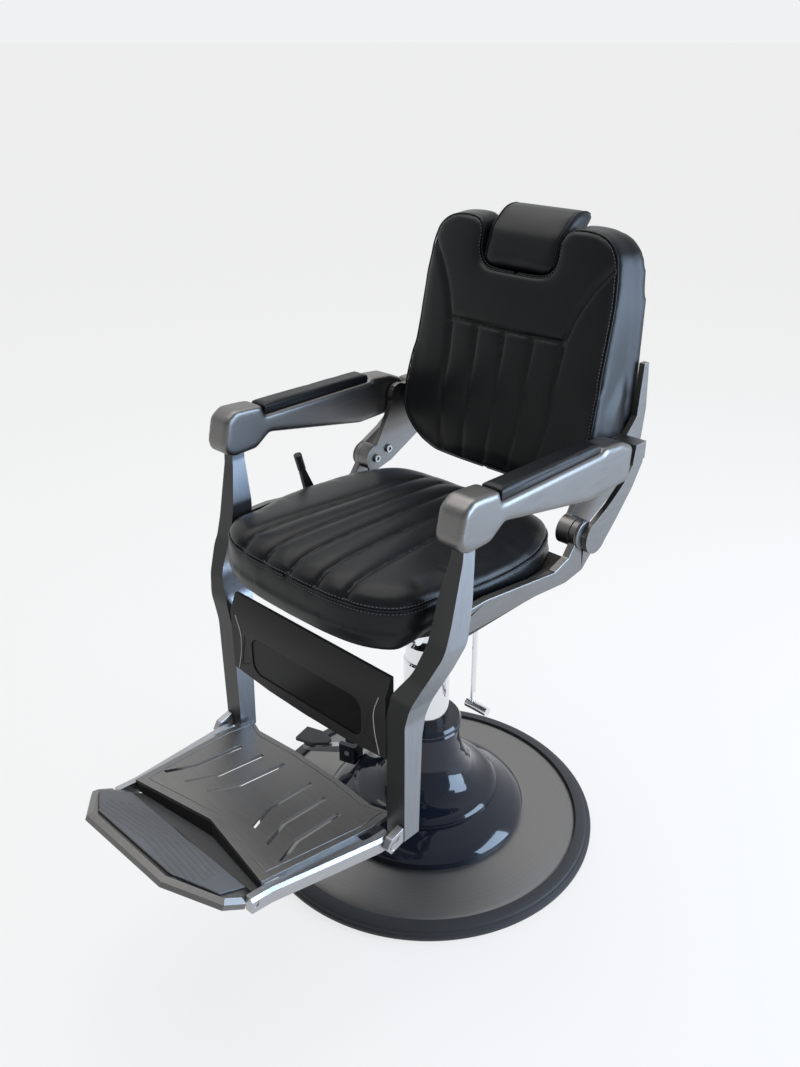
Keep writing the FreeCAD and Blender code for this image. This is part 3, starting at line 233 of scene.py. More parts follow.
def make_grain():
    """Pores and creases of smooth leather or moulded plastic."""
    tree, enter, leave = new_effect("Grain", [
        ("Pore Scale", "Float", 900.0), ("Crease Scale", "Float", 60.0)], ["Height", "Tone"])
    place = object_place(tree)
    pores = add_node(tree, "ShaderNodeTexVoronoi", {"feature": "DISTANCE_TO_EDGE"}, Vector=place,
                     Scale=enter["Pore Scale"])
    flat_pores = calculate(tree, "MINIMUM", pores.outputs["Distance"], 0.25)
    creases = noise(tree, place, enter["Crease Scale"], 5.0, 0.6)
    shallow_creases = calculate(tree, "MULTIPLY", creases, 0.5)
    tree.links.new(calculate(tree, "ADD", flat_pores, shallow_creases), leave["Height"])
    tree.links.new(noise(tree, place, 8.0, 4.0), leave["Tone"])
    return tree


EFFECT_MAKERS = {
    "Brushing": make_brushing, "Turning": make_turning, "Edge Wear": make_edge_wear, "Grain": make_grain}


def effect(tree, name, **sockets):
    """Place a shared effect in a material."""
    group = bpy.data.node_groups.get(name) or EFFECT_MAKERS[name]()
    return add_node(tree, "ShaderNodeGroup", {"node_tree": group}, **sockets).outputs


# Materials
BRUSHED_ALONG = (1.0, 0.06, 1.0)
BRUSHED_ACROSS = (0.06, 1.0, 1.0)
BRUSHED_UP = (1.0, 1.0, 0.05)
COARSE_ACROSS = (0.1, 1.0, 1.0)
BRIGHT_EDGE = (0.7, 0.7, 0.72)
PANEL_TONE = (0.034, 0.033, 0.032)
PANEL_EDGE = (0.16, 0.16, 0.165)


def opaque(rgb):
    return (rgb[0], rgb[1], rgb[2], 1.0)


def shade(rgb, factor):
    """A colour made darker or lighter by a factor."""
    return opaque([min(1.0, part * factor) for part in rgb])


def new_material(name, **sockets):
    material = bpy.data.materials.new(name)
    material.use_nodes = True
    tree = material.node_tree
    shader = tree.nodes["Principled BSDF"]
    for label, value in sockets.items():
        shader.inputs[label.replace("_", " ")].default_value = value
    return material, tree, shader.inputs


def raise_surface(tree, shader, height, strength, distance):
    bump = add_node(tree, "ShaderNodeBump", None, Height=height, Strength=strength, Distance=distance)
    tree.links.new(bump.outputs["Normal"], shader["Normal"])


def brushed_metal(name, rgb, bare, stretch, smooth=0.30, rough=0.46, wear=2.5):
    """Brushed metal that is worn bright along its edges."""
    material, tree, shader = new_material(name, Metallic=1.0)
    brush = effect(tree, "Brushing", Stretch=stretch)
    streaked = blend_colours(tree, brush["Streaks"], shade(rgb, 0.72), shade(rgb, 1.25))
    cloudy = blend_colours(tree, spread(tree, brush["Patches"], -0.4, 1.0), streaked, opaque(rgb))
    worn = effect(tree, "Edge Wear", Amount=wear)["Mask"]
    tree.links.new(blend_colours(tree, worn, cloudy, opaque(bare)), shader["Base Color"])
    mixed = calculate(tree, "ADD", calculate(tree, "MULTIPLY", brush["Streaks"], 0.5),
                      calculate(tree, "MULTIPLY", brush["Patches"], 0.5))
    tree.links.new(spread(tree, mixed, smooth, rough), shader["Roughness"])
    raise_surface(tree, shader, brush["Streaks"], 0.10, 0.0002)
    return material


def gunmetal_finish(colours):
    return brushed_metal("gunmetal", colours.gunmetal, colours.bare_edge, BRUSHED_ALONG)


def plate_finish(colours):
    return brushed_metal("gunmetal_plate", shade(colours.gunmetal, 1.1), colours.bare_edge, BRUSHED_ACROSS,
                         smooth=0.36, rough=0.52, wear=2.0)


def silver_finish(colours):
    return brushed_metal("silver", colours.silver, BRIGHT_EDGE, BRUSHED_ALONG,
                         smooth=0.26, rough=0.42, wear=1.5)


def steel_finish(colours):
    return brushed_metal("bare_steel", colours.silver, BRIGHT_EDGE, COARSE_ACROSS,
                         smooth=0.25, rough=0.4, wear=1.0)


def post_finish(colours):
    """Satin black on the faces that look forward or back, brushed steel on the sides."""
    material, tree, shader = new_material("post")
    brush = effect(tree, "Brushing", Stretch=BRUSHED_UP)
    facing = add_node(tree, "ShaderNodeSeparateXYZ", None,
                      Vector=add_node(tree, "ShaderNodeTexCoord").outputs["Normal"])
    sideways = calculate(tree, "ABSOLUTE", facing.outputs["X"])
    bare = add_node(tree, "ShaderNodeMapRange", {"interpolation_type": "SMOOTHSTEP"}, Value=sideways,
                    _1=0.62, _2=0.80).outputs[0]
    worn = effect(tree, "Edge Wear", Amount=1.2)["Mask"]
    steel_share = calculate(tree, "MAXIMUM", bare, calculate(tree, "MULTIPLY", worn, 0.6))
    steel = blend_colours(tree, brush["Streaks"], shade(colours.post_steel, 0.75),
                          shade(colours.post_steel, 1.2))
    black = blend_colours(tree, brush["Patches"], opaque(colours.post_black),
                          shade(colours.post_black, 1.5))
    tree.links.new(blend_colours(tree, steel_share, black, steel), shader["Base Color"])
    tree.links.new(spread(tree, steel_share, 0.1, 1.0), shader["Metallic"])
    tree.links.new(spread(tree, brush["Streaks"], 0.34, 0.48), shader["Roughness"])
    raise_surface(tree, shader, brush["Streaks"], 0.08, 0.0002)
    return material


def panel_finish(colours):
    """Satin black sheet metal, rubbed along its edges."""
    material, tree, shader = new_material("panel_black", Specular_IOR_Level=0.22)
    grain = effect(tree, "Grain", Pore_Scale=1400.0)
    worn = effect(tree, "Edge Wear", Amount=1.6)["Mask"]
    black = blend_colours(tree, grain["Tone"], opaque(colours.post_black), opaque(PANEL_TONE))
    tree.links.new(blend_colours(tree, worn, black, opaque(PANEL_EDGE)), shader["Base Color"])
    tree.links.new(spread(tree, grain["Tone"], 0.42, 0.56), shader["Roughness"])
    raise_surface(tree, shader, grain["Height"], 0.08, 0.0003)
    return material


def lacquer_finish(colours):
    """Deep black paint under a clear coat."""
    material, tree, shader = new_material("lacquer", Specular_IOR_Level=0.1, Coat_Weight=0.7,
                                          Coat_Roughness=0.04)
    grain = effect(tree, "Grain", Crease_Scale=30.0)
    deep = opaque(colours.gloss_black)
    lifted = shade(colours.gloss_black, 1.6)
    tree.links.new(blend_colours(tree, grain["Tone"], deep, lifted), shader["Base Color"])
    tree.links.new(spread(tree, grain["Tone"], 0.10, 0.20), shader["Roughness"])
    return material


def chrome_finish(colours):
    material, tree, shader = new_material("chrome", Metallic=1.0)
    brush = effect(tree, "Turning", Fineness=300.0)
    tint = blend_colours(tree, brush["Patches"], shade(colours.chrome, 0.93), opaque(colours.chrome))
    tree.links.new(tint, shader["Base Color"])
    tree.links.new(spread(tree, brush["Patches"], 0.04, 0.12), shader["Roughness"])
    return material


def base_finish(colours):
    """The base plate, brushed in circles."""
    material, tree, shader = new_material("base_plate", Metallic=1.0)
    rings = effect(tree, "Turning")
    worn = effect(tree, "Edge Wear", Amount=2.0)["Mask"]
    brushed = blend_colours(tree, rings["Streaks"], shade(colours.gunmetal, 0.85),
                            shade(colours.gunmetal, 1.5))
    tree.links.new(blend_colours(tree, worn, brushed, opaque(colours.bare_edge)), shader["Base Color"])
    tree.links.new(spread(tree, rings["Patches"], 0.34, 0.52), shader["Roughness"])
    raise_surface(tree, shader, rings["Streaks"], 0.12, 0.0003)
    return material


def grained(name, rgb, pore, roughness, strength, specular=0.4):
    """A material with pores: leather, thread, rubber or moulded plastic."""
    material, tree, shader = new_material(name, Specular_IOR_Level=specular)
    grain = effect(tree, "Grain", Pore_Scale=pore)
    lifted = opaque([part * 1.5 + 0.002 for part in rgb])
    tree.links.new(blend_colours(tree, grain["Tone"], opaque(rgb), lifted), shader["Base Color"])
    tree.links.new(spread(tree, grain["Tone"], roughness - 0.07, roughness + 0.07), shader["Roughness"])
    raise_surface(tree, shader, grain["Height"], strength, 0.0004)
    return material


def leather_finish(colours):
    return grained("leather", colours.leather, 1100.0, 0.35, 0.12, 0.24)


def thread_finish(colours):
    return grained("thread", colours.thread, 2500.0, 0.7, 0.3)


def rubber_finish(colours):
    return grained("rubber", colours.rubber, 700.0, 0.55, 0.15)


def tread_finish(colours):
    return grained("tread_rubber", colours.tread, 900.0, 0.6, 0.25, 0.3)


def plastic_finish(colours):
    return grained("moulded_black", colours.plastic, 1500.0, 0.42, 0.10)


def inlay_finish(colours):
    return grained("inlay_black", shade(colours.plastic, 0.3), 1500.0, 0.30, 0.05, 0.15)


def plywood_finish(colours):
    material, tree, shader = new_material("plywood", Roughness=0.7)
    brush = effect(tree, "Brushing", Stretch=COARSE_ACROSS, Fineness=120.0)
    layers = blend_colours(tree, brush["Streaks"], shade(colours.plywood, 0.7), opaque(colours.plywood))
    tree.links.new(layers, shader["Base Color"])
    return material


FINISH_MAKERS = {
    "gunmetal": gunmetal_finish, "plate": plate_finish, "silver": silver_finish, "post": post_finish,
    "panel": panel_finish, "lacquer": lacquer_finish, "chrome": chrome_finish, "steel": steel_finish,
    "base": base_finish, "leather": leather_finish, "thread": thread_finish, "rubber": rubber_finish,
    "tread": tread_finish, "plastic": plastic_finish, "inlay": inlay_finish, "plywood": plywood_finish,
}
made_finishes = {}


def finish(name):
    """A material by its name, made once."""
    if name not in made_finishes:
        made_finishes[name] = FINISH_MAKERS[name](bpy.context.scene.chair_finishes)
    return made_finishes[name]


# Frame
def both(*names):
    """The left and the right solid of each name."""
    return [name + "_" + side for name in names for side in SIDES]


NODE_FINISHES = {
    "base": ["base_plate"],
    "rubber": ["base_ring", "pump_pedal"],
    "lacquer": ["pedestal_skirt", "pedestal_bell", "neck_collar", "pump_box"],
    "inlay": ["calf_pad"],
    "chrome": ["lift_ram", "swivel_hub", "link_rod", "link_boss", "cross_tube", "seat_front_rail"],
    "steel": ["pump_cylinder", "cylinder_bolts", "pump_pin", "hinge_pins", "leg_pins", "lever_pin",
              "arm_pins", "headrest_guide", "headrest_bar", "foot_pins", "toe_pins", "pump_lever",
              *both("arm_front_pin")],
    "gunmetal": ["toe_plate", *both("side_rail", "back_bracket", "hinge_disc")],
    "plate": ["foot_plate"],
    "silver": both("foot_arm", "foot_knuckle"),
    "post": both("leg_post"),
    "panel": ["calf_panel", "recline_lever", "seat_cradle"],
    "plastic": ["ram_ring", "lever_grip"],
    "plywood": ["seat_board"],
}
# Width of the rounding along the edges of a solid
SOFT_EDGES = {
    0.001: ["base_plate"],
    0.0015: ["foot_plate"],
    0.002: ["calf_panel", "calf_pad", "pump_pedal",
            *both("back_bracket", "foot_arm", "foot_knuckle", "hinge_disc")],
    0.0025: ["toe_plate", *both("side_rail")],
    0.003: both("leg_post"),
}
EDGE_WIDTHS = {node: width for width, nodes in SOFT_EDGES.items() for node in nodes}
EDGE_ANGLE = math.radians(25)
SMOOTH_ANGLE = math.radians(32)
WELD_GAP = 0.00002


def make_soft_shading():
    """Smooth shading over gentle bends, with hard edges kept."""
    tree = bpy.data.node_groups.new("Soft Shading", "GeometryNodeTree")
    for way in ("INPUT", "OUTPUT"):
        tree.interface.new_socket("Geometry", in_out=way, socket_type="NodeSocketGeometry")
    enter = tree.nodes.new("NodeGroupInput").outputs[0]
    leave = tree.nodes.new("NodeGroupOutput").inputs[0]
    bend = add_node(tree, "GeometryNodeInputMeshEdgeAngle").outputs["Unsigned Angle"]
    gentle = add_node(tree, "FunctionNodeCompare", {"operation": "LESS_THAN"}, _0=bend, _1=SMOOTH_ANGLE)
    faces = add_node(tree, "GeometryNodeSetShadeSmooth", None, Geometry=enter)
    edges = add_node(tree, "GeometryNodeSetShadeSmooth", {"domain": "EDGE"}, Geometry=faces.outputs[0],
                     Shade_Smooth=gentle.outputs[0])
    tree.links.new(edges.outputs[0], leave)
    return tree


def finish_frame():
    """Give every solid of the frame its material, and round the edges that show."""
    for name, nodes in NODE_FINISHES.items():
        for node in nodes:
            materials = frame["nodes"][node].data.materials
            materials.clear()
            materials.append(finish(name))
    shading = make_soft_shading()
    for node, piece in frame["nodes"].items():
        weld = piece.modifiers.new("Weld", "WELD")
        weld.merge_threshold = WELD_GAP
        if node in EDGE_WIDTHS:
            bevel = piece.modifiers.new("Edges", "BEVEL")
            bevel.width = EDGE_WIDTHS[node]
            bevel.segments = 3
            bevel.limit_method = "ANGLE"
            bevel.angle_limit = EDGE_ANGLE
        soft = piece.modifiers.new("Soft Shading", "NODES")
        soft.node_group = shading
        if node in EDGE_WIDTHS:
            even = piece.modifiers.new("Even Shading", "WEIGHTED_NORMAL")
            even.keep_sharp = True


# Mesh tools
LINE_STEP = 0.0025
CLOTH_FRAMES = 20
CREASE_REACH = 6
STITCH_SIDES = 6
# Place along a stitch, lift and girth of each of its rings, in stitches and threads
STITCH_RINGS = ((-0.5, -0.6, 0.6), (-0.25, 0.7, 1.0), (0.25, 0.7, 1.0), (0.5, -0.6, 0.6))


def new_piece(name, data):
    piece = bpy.data.objects.new(name, data)
    bpy.context.scene.collection.objects.link(piece)
    return piece


def mesh_piece(name, work):
    """A new piece from the faces that were built."""
    mesh = bpy.data.meshes.new(name)
    work.to_mesh(mesh)
    work.free()
    return new_piece(name, mesh)


def mount(piece, body, material):
    """Hand a finished piece over to the body that carries it."""
    piece.data.materials.append(finish(material))
    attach(piece, body)


def smooth_faces(mesh):
    mesh.polygons.foreach_set("use_smooth", [True] * len(mesh.polygons))


def worked_mesh(piece):
    """A new mesh of a piece with its modifiers, or of a curve with its thickness."""
    graph = bpy.context.evaluated_depsgraph_get()
    return bpy.data.meshes.new_from_object(piece.evaluated_get(graph))


def settle(piece):
    """Turn a piece's modifiers into its mesh."""
    mesh = worked_mesh(piece)
    piece.modifiers.clear()
    piece.data = mesh


def relax(piece, rounds):
    """Even out the bumps of a mesh."""
    work = bmesh.new()
    work.from_mesh(piece.data)
    for turn in range(rounds):
        bmesh.ops.smooth_vert(work, verts=work.verts, factor=0.5,
                              use_axis_x=True, use_axis_y=True, use_axis_z=True)
    work.to_mesh(piece.data)
    work.free()


def refine(piece):
    finer = piece.modifiers.new("Finer", "SUBSURF")
    finer.levels = 1
    settle(piece)
    smooth_faces(piece.data)


def even_faces(piece, cell):
    """Cut a closed piece into small even faces."""
    even = piece.modifiers.new("Even", "REMESH")
    even.mode = "VOXEL"
    even.voxel_size = cell
    settle(piece)
    relax(piece, 2)
    return piece


def soft_copy(node, name, cell):
    """A copy of a solid with small even faces."""
    work = bmesh.new()
    work.from_mesh(frame["nodes"][node].data)
    bmesh.ops.remove_doubles(work, verts=work.verts, dist=WELD_GAP)
    return even_faces(mesh_piece(name, work), cell)


def join_rings(work, rings):
    """The faces between rings of vertices."""
    for first, last in zip(rings, rings[1:]):
        for i, corner in enumerate(first):
            j = (i + 1) % len(first)
            work.faces.new((corner, first[j], last[j], last[i]))


def close_rings(work, rings):
    """The faces between rings of vertices, and a cap at each end."""
    join_rings(work, rings)
    work.faces.new(list(reversed(rings[0])))
    work.faces.new(rings[-1])


def loop_solid(name, loops, cell):
    """A closed cushion through a stack of loops of the same number of points."""
    work = bmesh.new()
    rings = [[work.verts.new(point) for point in loop] for loop in loops]
    caps = [work.faces.new(rings[0]), work.faces.new(list(reversed(rings[-1])))]
    join_rings(work, rings)
    bmesh.ops.triangulate(work, faces=caps)
    bmesh.ops.recalc_face_normals(work, faces=work.faces)
    return even_faces(mesh_piece(name, work), cell)


def inflate(piece, pressure, swell, held):
    """Swell a cushion as cloth under pressure. held says which points stay where they are."""
    start = [vertex.co.copy() for vertex in piece.data.vertices]
    cloth = piece.modifiers.new("Padding", "CLOTH")
    cloth.settings.use_pressure = True
    cloth.settings.uniform_pressure_force = pressure
    cloth.settings.effector_weights.gravity = 0
    for step in range(1, CLOTH_FRAMES + 1):
        bpy.context.scene.frame_set(step)
    settle(piece)
    bpy.context.scene.frame_set(1)
    for vertex, before in zip(piece.data.vertices, start):
        move = vertex.co - before
        reach = 0.0 if held(before) else swell
        if move.length > reach:
            move *= reach / move.length
        vertex.co = before + move


def surface_of(piece):
    mesh = piece.data
    return BVHTree.FromPolygons([vertex.co.copy() for vertex in mesh.vertices],
                                [tuple(face.vertices) for face in mesh.polygons])


# Lines and sewing
def ramp(value, start, reach):
    """A share that is 0 up to the start and rises to 1 over the reach."""
    return max(0.0, min(1.0, (value - start) / reach))


def mirrored(points):
    return [Vector((-point.x, point.y, point.z)) for point in points]


def stepped(points):
    """Points along a broken line, a small step apart."""
    out = []
    for first, last in zip(points, points[1:]):
        first = Vector(first)
        last = Vector(last)
        count = max(1, round((last - first).length / LINE_STEP))
        out += [first.lerp(last, i / count) for i in range(count)]
    return out + [Vector(points[-1])]


def curved(points, count=12):
    """A smooth curve through a few points."""
    points = [Vector(point) for point in points]
    ends = [2 * points[0] - points[1]] + points + [2 * points[-1] - points[-2]]
    out = []
    for before, first, last, after in zip(ends, ends[1:], ends[2:], ends[3:]):
        for i in range(count):
            t = i / count
            bend = (2 * first + (last - before) * t + (2 * before - 5 * first + 4 * last - after) * t * t
                    + (3 * first - before - 3 * last + after) * t * t * t)
            out.append(bend * 0.5)
    return out + [points[-1]]


def cast_line(tree, points, direction, back_off=0.3):
    """Lay a line on a surface along a direction: a list of places and normals."""
    direction = Vector(direction)
    line = []
    for point in stepped(points):
        place, normal, index, distance = tree.ray_cast(point - direction * back_off, direction)
        if place is not None:
            line.append((place, normal))
    return line


def lay_line(tree, points):
    """Lay a line on the nearest places of a surface, and even it out."""
    line = [tree.find_nearest(point)[:2] for point in stepped(points)]
    out = []
    for i in range(len(line)):
        near = line[max(0, i - 4):i + 5]
        place = sum((spot for spot, normal in near), Vector()) / len(near)
        normal = sum((normal for spot, normal in near), Vector()).normalized()
        out.append((place, normal))
    return out


def shifted_line(tree, line, distance):
    """A line beside another one on the same surface."""
    out = []
    for i, (place, normal) in enumerate(line):
        ahead = line[min(i + 2, len(line) - 1)][0] - line[max(i - 2, 0)][0]
        aside = normal.cross(ahead).normalized()
        out.append(tree.find_nearest(place + aside * distance)[:2])
    return out


def crease(piece, lines, depth, width, fade=None):
    """Pull the leather in along lines. fade scales the depth by the place on the line."""
    places = [place for line in lines for place, normal in line]
    if not places:
        raise RuntimeError("no seam on " + piece.name)
    tree = KDTree(len(places))
    for index, place in enumerate(places):
        tree.insert(place, index)
    tree.balance()
    moved = []
    for vertex in piece.data.vertices:
        place, index, distance = tree.find(vertex.co)
        if distance > width * CREASE_REACH:
            continue
        pull = depth * math.exp(-distance / width)
        if fade:
            pull *= fade(place)
        moved.append((vertex, vertex.co - vertex.normal * pull))
    for vertex, place in moved:
        vertex.co = place


def add_stitch(work, place, along, normal, size, thread):
    """One stitch: a short thread that dips into the leather at both ends."""
    across = normal.cross(along).normalized()
    rings = []
    for share, lift, girth in STITCH_RINGS:
        centre = place + along * (size * share) + normal * (thread * lift)
        ring = []
        for i in range(STITCH_SIDES):
            angle = math.tau * i / STITCH_SIDES
            direction = across * math.cos(angle) + normal * math.sin(angle)
            ring.append(work.verts.new(centre + direction * thread * girth))
        rings.append(ring)
    close_rings(work, rings)


def sew(name, lines, sizes, body):
    """A row of stitches along each line, as one piece."""
    work = bmesh.new()
    pitch = sizes.stitch + sizes.stitch_gap
    for line in lines:
        travelled = 0.0
        due = 0.0
        for (first, normal), (last, next_normal) in zip(line, line[1:]):
            step = (last - first).length
            while step > 0 and due <= travelled + step:
                place = first.lerp(last, (due - travelled) / step)
                add_stitch(work, place, (last - first) / step, normal, sizes.stitch, sizes.thread)
                due += pitch
            travelled += step
    stitches = mesh_piece(name, work)
    smooth_faces(stitches.data)
    mount(stitches, body, "thread")


def bead(name, points, radius):
    """A thin round bead along points, as a mesh."""
    curve = bpy.data.curves.new(name, "CURVE")
    curve.dimensions = "3D"
    curve.bevel_depth = radius
    curve.bevel_resolution = 2
    spline = curve.splines.new("POLY")
    spline.points.add(len(points) - 1)
    for target, point in zip(spline.points, points):
        target.co = (*point, 1.0)
    holder = new_piece(name, curve)
    mesh = worked_mesh(holder)
    bpy.data.objects.remove(holder)
    smooth_faces(mesh)
    return new_piece(name, mesh)


def pipe(name, line, sink, radius, body):
    """Leather piping along a seam, sunk a little into it."""
    points = [place - normal * sink for place, normal in line]
    mount(bead(name, points, radius), body, "leather")


# Seat
SEAT_LOW, SEAT_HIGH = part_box("seat_cushion")
SEAT_REAR_DROP = 0.016
SEAT_SEAM_DROP = 0.019
SEAT_BOW = 0.013
SEAT_FRONT = SEAT_LOW.y - SEAT_BOW
SEAT_FLOOR = 0.644
SEAT_FRONT_FLOOR = 0.631
SEAT_FLOOR_STEP = 0.040
SEAT_CROWN_RISE = 0.014
# Half widths, with the distance behind the front or before the rear
SEAT_FRONT_SIDE = (
    (0.0, -SEAT_BOW), (0.090, 0.003 - SEAT_BOW), (0.155, 0.002), (0.203, 0.030), (0.223, 0.068),
    (0.227, 0.108), (0.240, 0.165), (0.247, 0.230), (0.246, 0.300))
SEAT_REAR_SIDE = (
    (0.238, 0.125), (0.223, 0.082), (0.204, 0.044), (0.172, 0.016), (0.110, 0.003), (0.0, 0.0))
# Inset and rise of each ring, from the underside to the top
SEAT_RINGS = ((0.022, -1.0), (0.006, -0.84), (0.0, -0.45), (0.001, 0.0), (0.009, 0.012), (0.030, 0.018))
SEAT_PRESSURE = 4.0
SEAT_SWELL = 0.0042
SEAT_HELD = 0.012
CHANNELS = range(-2, 3)
SEAT_CHANNEL_WIDTH = 0.0075
SEAT_CHANNEL_TAPER = 0.26
SEAT_CHANNEL_STOP = 0.06
SEAT_CHANNEL_STEPS = 39
SEAT_CHANNEL_CLEAR = 0.005
SEAT_CHANNEL_FADE = 0.70
SEAT_CHANNEL_FADE_SPAN = 0.8
SEAT_PIPING = 0.0015
PIPING_SINK = 0.0004


def seat_outline():
    """The seat's outline from above: bowed in front, widest between the rails, round at the rear."""
    side = [(x, SEAT_LOW.y + y, 0) for x, y in SEAT_FRONT_SIDE]
    side += [(x, SEAT_HIGH.y - y, 0) for x, y in SEAT_REAR_SIDE]
    right = curved(side, 8)
    return right + mirrored(reversed(right[1:-1]))


def outward(loop, i):
    """The direction that points out of a loop seen from above."""
    along = loop[(i + 1) % len(loop)] - loop[i - 1]
    return Vector((along.y, -along.x, 0)).normalized()


def seat_seam(y):
    """Height of the seam under the seat's top, falling to the rear."""
    share = (y - SEAT_LOW.y) / (SEAT_HIGH.y - SEAT_LOW.y)
    return SEAT_HIGH.z - SEAT_SEAM_DROP - SEAT_REAR_DROP * share


def seat_floor(y):
    """Height of the seat's underside, lowest along the front."""
    share = ramp(y, SEAT_LOW.y + SEAT_FLOOR_STEP, SEAT_FLOOR_STEP)
    return SEAT_FRONT_FLOOR + (SEAT_FLOOR - SEAT_FRONT_FLOOR) * share


def seat_ring(loop, inset, rise):
    """The outline drawn in by an inset, at a height over the seam.

    A negative rise is a share of the side band under the seam.
    """
    ring = []
    for i, place in enumerate(loop):
        point = place - outward(loop, i) * inset
        seam = seat_seam(place.y)
        if rise < 0:
            height = seam + rise * (seam - seat_floor(place.y))
        else:
            height = seam + rise
        ring.append(Vector((point.x, point.y, height)))
    return ring


def make_seat(sizes):
    """The seat, with fanned channels and a piped and stitched seam round its sides."""
    loop = seat_outline()
    seat = loop_solid("seat_upholstery", [seat_ring(loop, *ring) for ring in SEAT_RINGS], sizes.cell)
    middle = (SEAT_LOW.y + SEAT_HIGH.y) / 2
    reach = (SEAT_HIGH.y - SEAT_LOW.y) / 2
    for vertex in seat.data.vertices:
        place = vertex.co
        rise = ramp(place.z, seat_seam(place.y), SEAT_CROWN_RISE)
        crown = (1 - (place.x / SEAT_HIGH.x) ** 2) * (1 - ((place.y - middle) / reach) ** 4)
        place.z += sizes.seat_crown * rise * max(0.0, crown)
    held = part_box("seat_board")[1].z + SEAT_HELD
    inflate(seat, SEAT_PRESSURE, SEAT_SWELL, lambda place: place.z < held)
    relax(seat, 1)
    refine(seat)
    tree = surface_of(seat)
    closed = seat_ring(loop, 0.0, 0.0)
    rim = lay_line(tree, closed + closed[:1])
    crease(seat, [rim], sizes.seam_depth, sizes.seam_width)
    channels = []
    for i in CHANNELS:
        x = i * sizes.channel_pitch
        start = Vector((x, SEAT_FRONT, SEAT_HIGH.z))
        end = Vector((x * (1 - SEAT_CHANNEL_TAPER), SEAT_HIGH.y - SEAT_CHANNEL_STOP, SEAT_HIGH.z))
        points = [start.lerp(end, step / SEAT_CHANNEL_STEPS) for step in range(SEAT_CHANNEL_STEPS + 1)]
        line = cast_line(tree, points, (0, 0, -1))
        channels.append([(place, normal) for place, normal in line
                         if place.z > seat_seam(place.y) + SEAT_CHANNEL_CLEAR])
    fade_span = (SEAT_HIGH.y - SEAT_FRONT) * SEAT_CHANNEL_FADE_SPAN
    crease(seat, channels, sizes.seat_channel_depth, SEAT_CHANNEL_WIDTH,
           lambda place: 1.0 - SEAT_CHANNEL_FADE * ramp(place.y, SEAT_FRONT, fade_span))
    mount(seat, "seat_frame", "leather")
    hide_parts("seat_cushion")
    tree = surface_of(seat)
    rows = [shifted_line(tree, rim, sizes.stitch_row), shifted_line(tree, rim, -sizes.stitch_row)]
    sew("seat_stitching", rows, sizes, "seat_frame")
    pipe("seat_piping", rim, PIPING_SINK, SEAT_PIPING, "seat_frame")


# Back
BACK_LOW, BACK_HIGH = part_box("back_cushion")
YOKE_HEIGHT = 1.010
YOKE_SIDE = ((0.200, 1.140), (0.170, 1.102), (0.146, 1.057), (0.136, 1.026), (0.129, YOKE_HEIGHT))
YOKE_DIP = 0.002
YOKE_SEAM = 2.5
BACK_KNEE = 0.850
BACK_FACE = BACK_LOW.y + 0.002
BACK_LEAN = 0.313
YOKE_LEAN = 0.19
BACK_REAR_HALF = 0.2295
BACK_FLARE = 0.013
BACK_FLARE_DROP = 0.004
BACK_FLARE_START = 0.110
BACK_FLARE_REACH = 0.060
BACK_TUCK_HEIGHT = BACK_KNEE - 0.050
BACK_TUCK_IN = 0.6
BACK_TUCK_UP = 0.3
BACK_CROWN_REACH = 0.05
BACK_PRESSURE = 4.0
BACK_SWELL = 0.003
BACK_HELD = 0.015
NOTCH_HALF = 0.087
BACK_CHANNEL_SPREAD = 1.04
# Share of the spread and height along a channel
BACK_CHANNEL = ((1.0, YOKE_HEIGHT - 0.011), (0.97, 0.93), (0.98, 0.86), (0.84, BACK_LOW.z + 0.02))
BACK_CHANNEL_WIDTH = 0.0055
BACK_CHANNEL_LEAST = 0.3
BACK_CHANNEL_FOOT = 0.78
BACK_PIPING = 0.0016


def back_front(height):
    """How far back the front face of the backrest lies at a height."""
    lower = max(0.0, min(height, YOKE_HEIGHT) - BACK_KNEE) * BACK_LEAN
    return BACK_FACE + lower + max(0.0, height - YOKE_HEIGHT) * YOKE_LEAN


def back_edge():
    """One side of the front face's outline, from the lower middle up and down into the headrest's notch."""
    foot = BACK_LOW.z
    top = BACK_HIGH.z
    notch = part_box("headrest_cushion")[0].z + 0.003
    side = [
        (0.0, foot), (0.100, foot + 0.001), (0.150, foot + 0.009), (0.192, foot + 0.032),
        (0.219, 0.812), (0.227, 0.860), (0.224, 0.910), (0.219, 0.977), (0.217, 1.046), (0.215, 1.096),
        (0.208, 1.146), (0.197, 1.172), (0.174, top - 0.007), (0.140, top),
        (NOTCH_HALF + 0.018, top - 0.003), (NOTCH_HALF + 0.004, top - 0.016), (NOTCH_HALF, top - 0.036),
        (NOTCH_HALF, notch + 0.032), (NOTCH_HALF - 0.007, notch + 0.012),
        (NOTCH_HALF - 0.024, notch + 0.001), (0.030, notch - 0.002), (0.0, notch - 0.002)]
    return curved([(x, back_front(z), z) for x, z in side], 6)


def behind(place, rear):
    """The place on the rear of the back that belongs to a place on its front edge."""
    flare = ramp(abs(place.x), BACK_FLARE_START, BACK_FLARE_REACH)
    x = math.copysign(min(BACK_REAR_HALF, abs(place.x) + BACK_FLARE * flare), place.x)
    tuck = max(0.0, BACK_TUCK_HEIGHT - place.z)
    return Vector((x, rear - tuck * BACK_TUCK_IN, place.z + tuck * BACK_TUCK_UP - flare * BACK_FLARE_DROP))


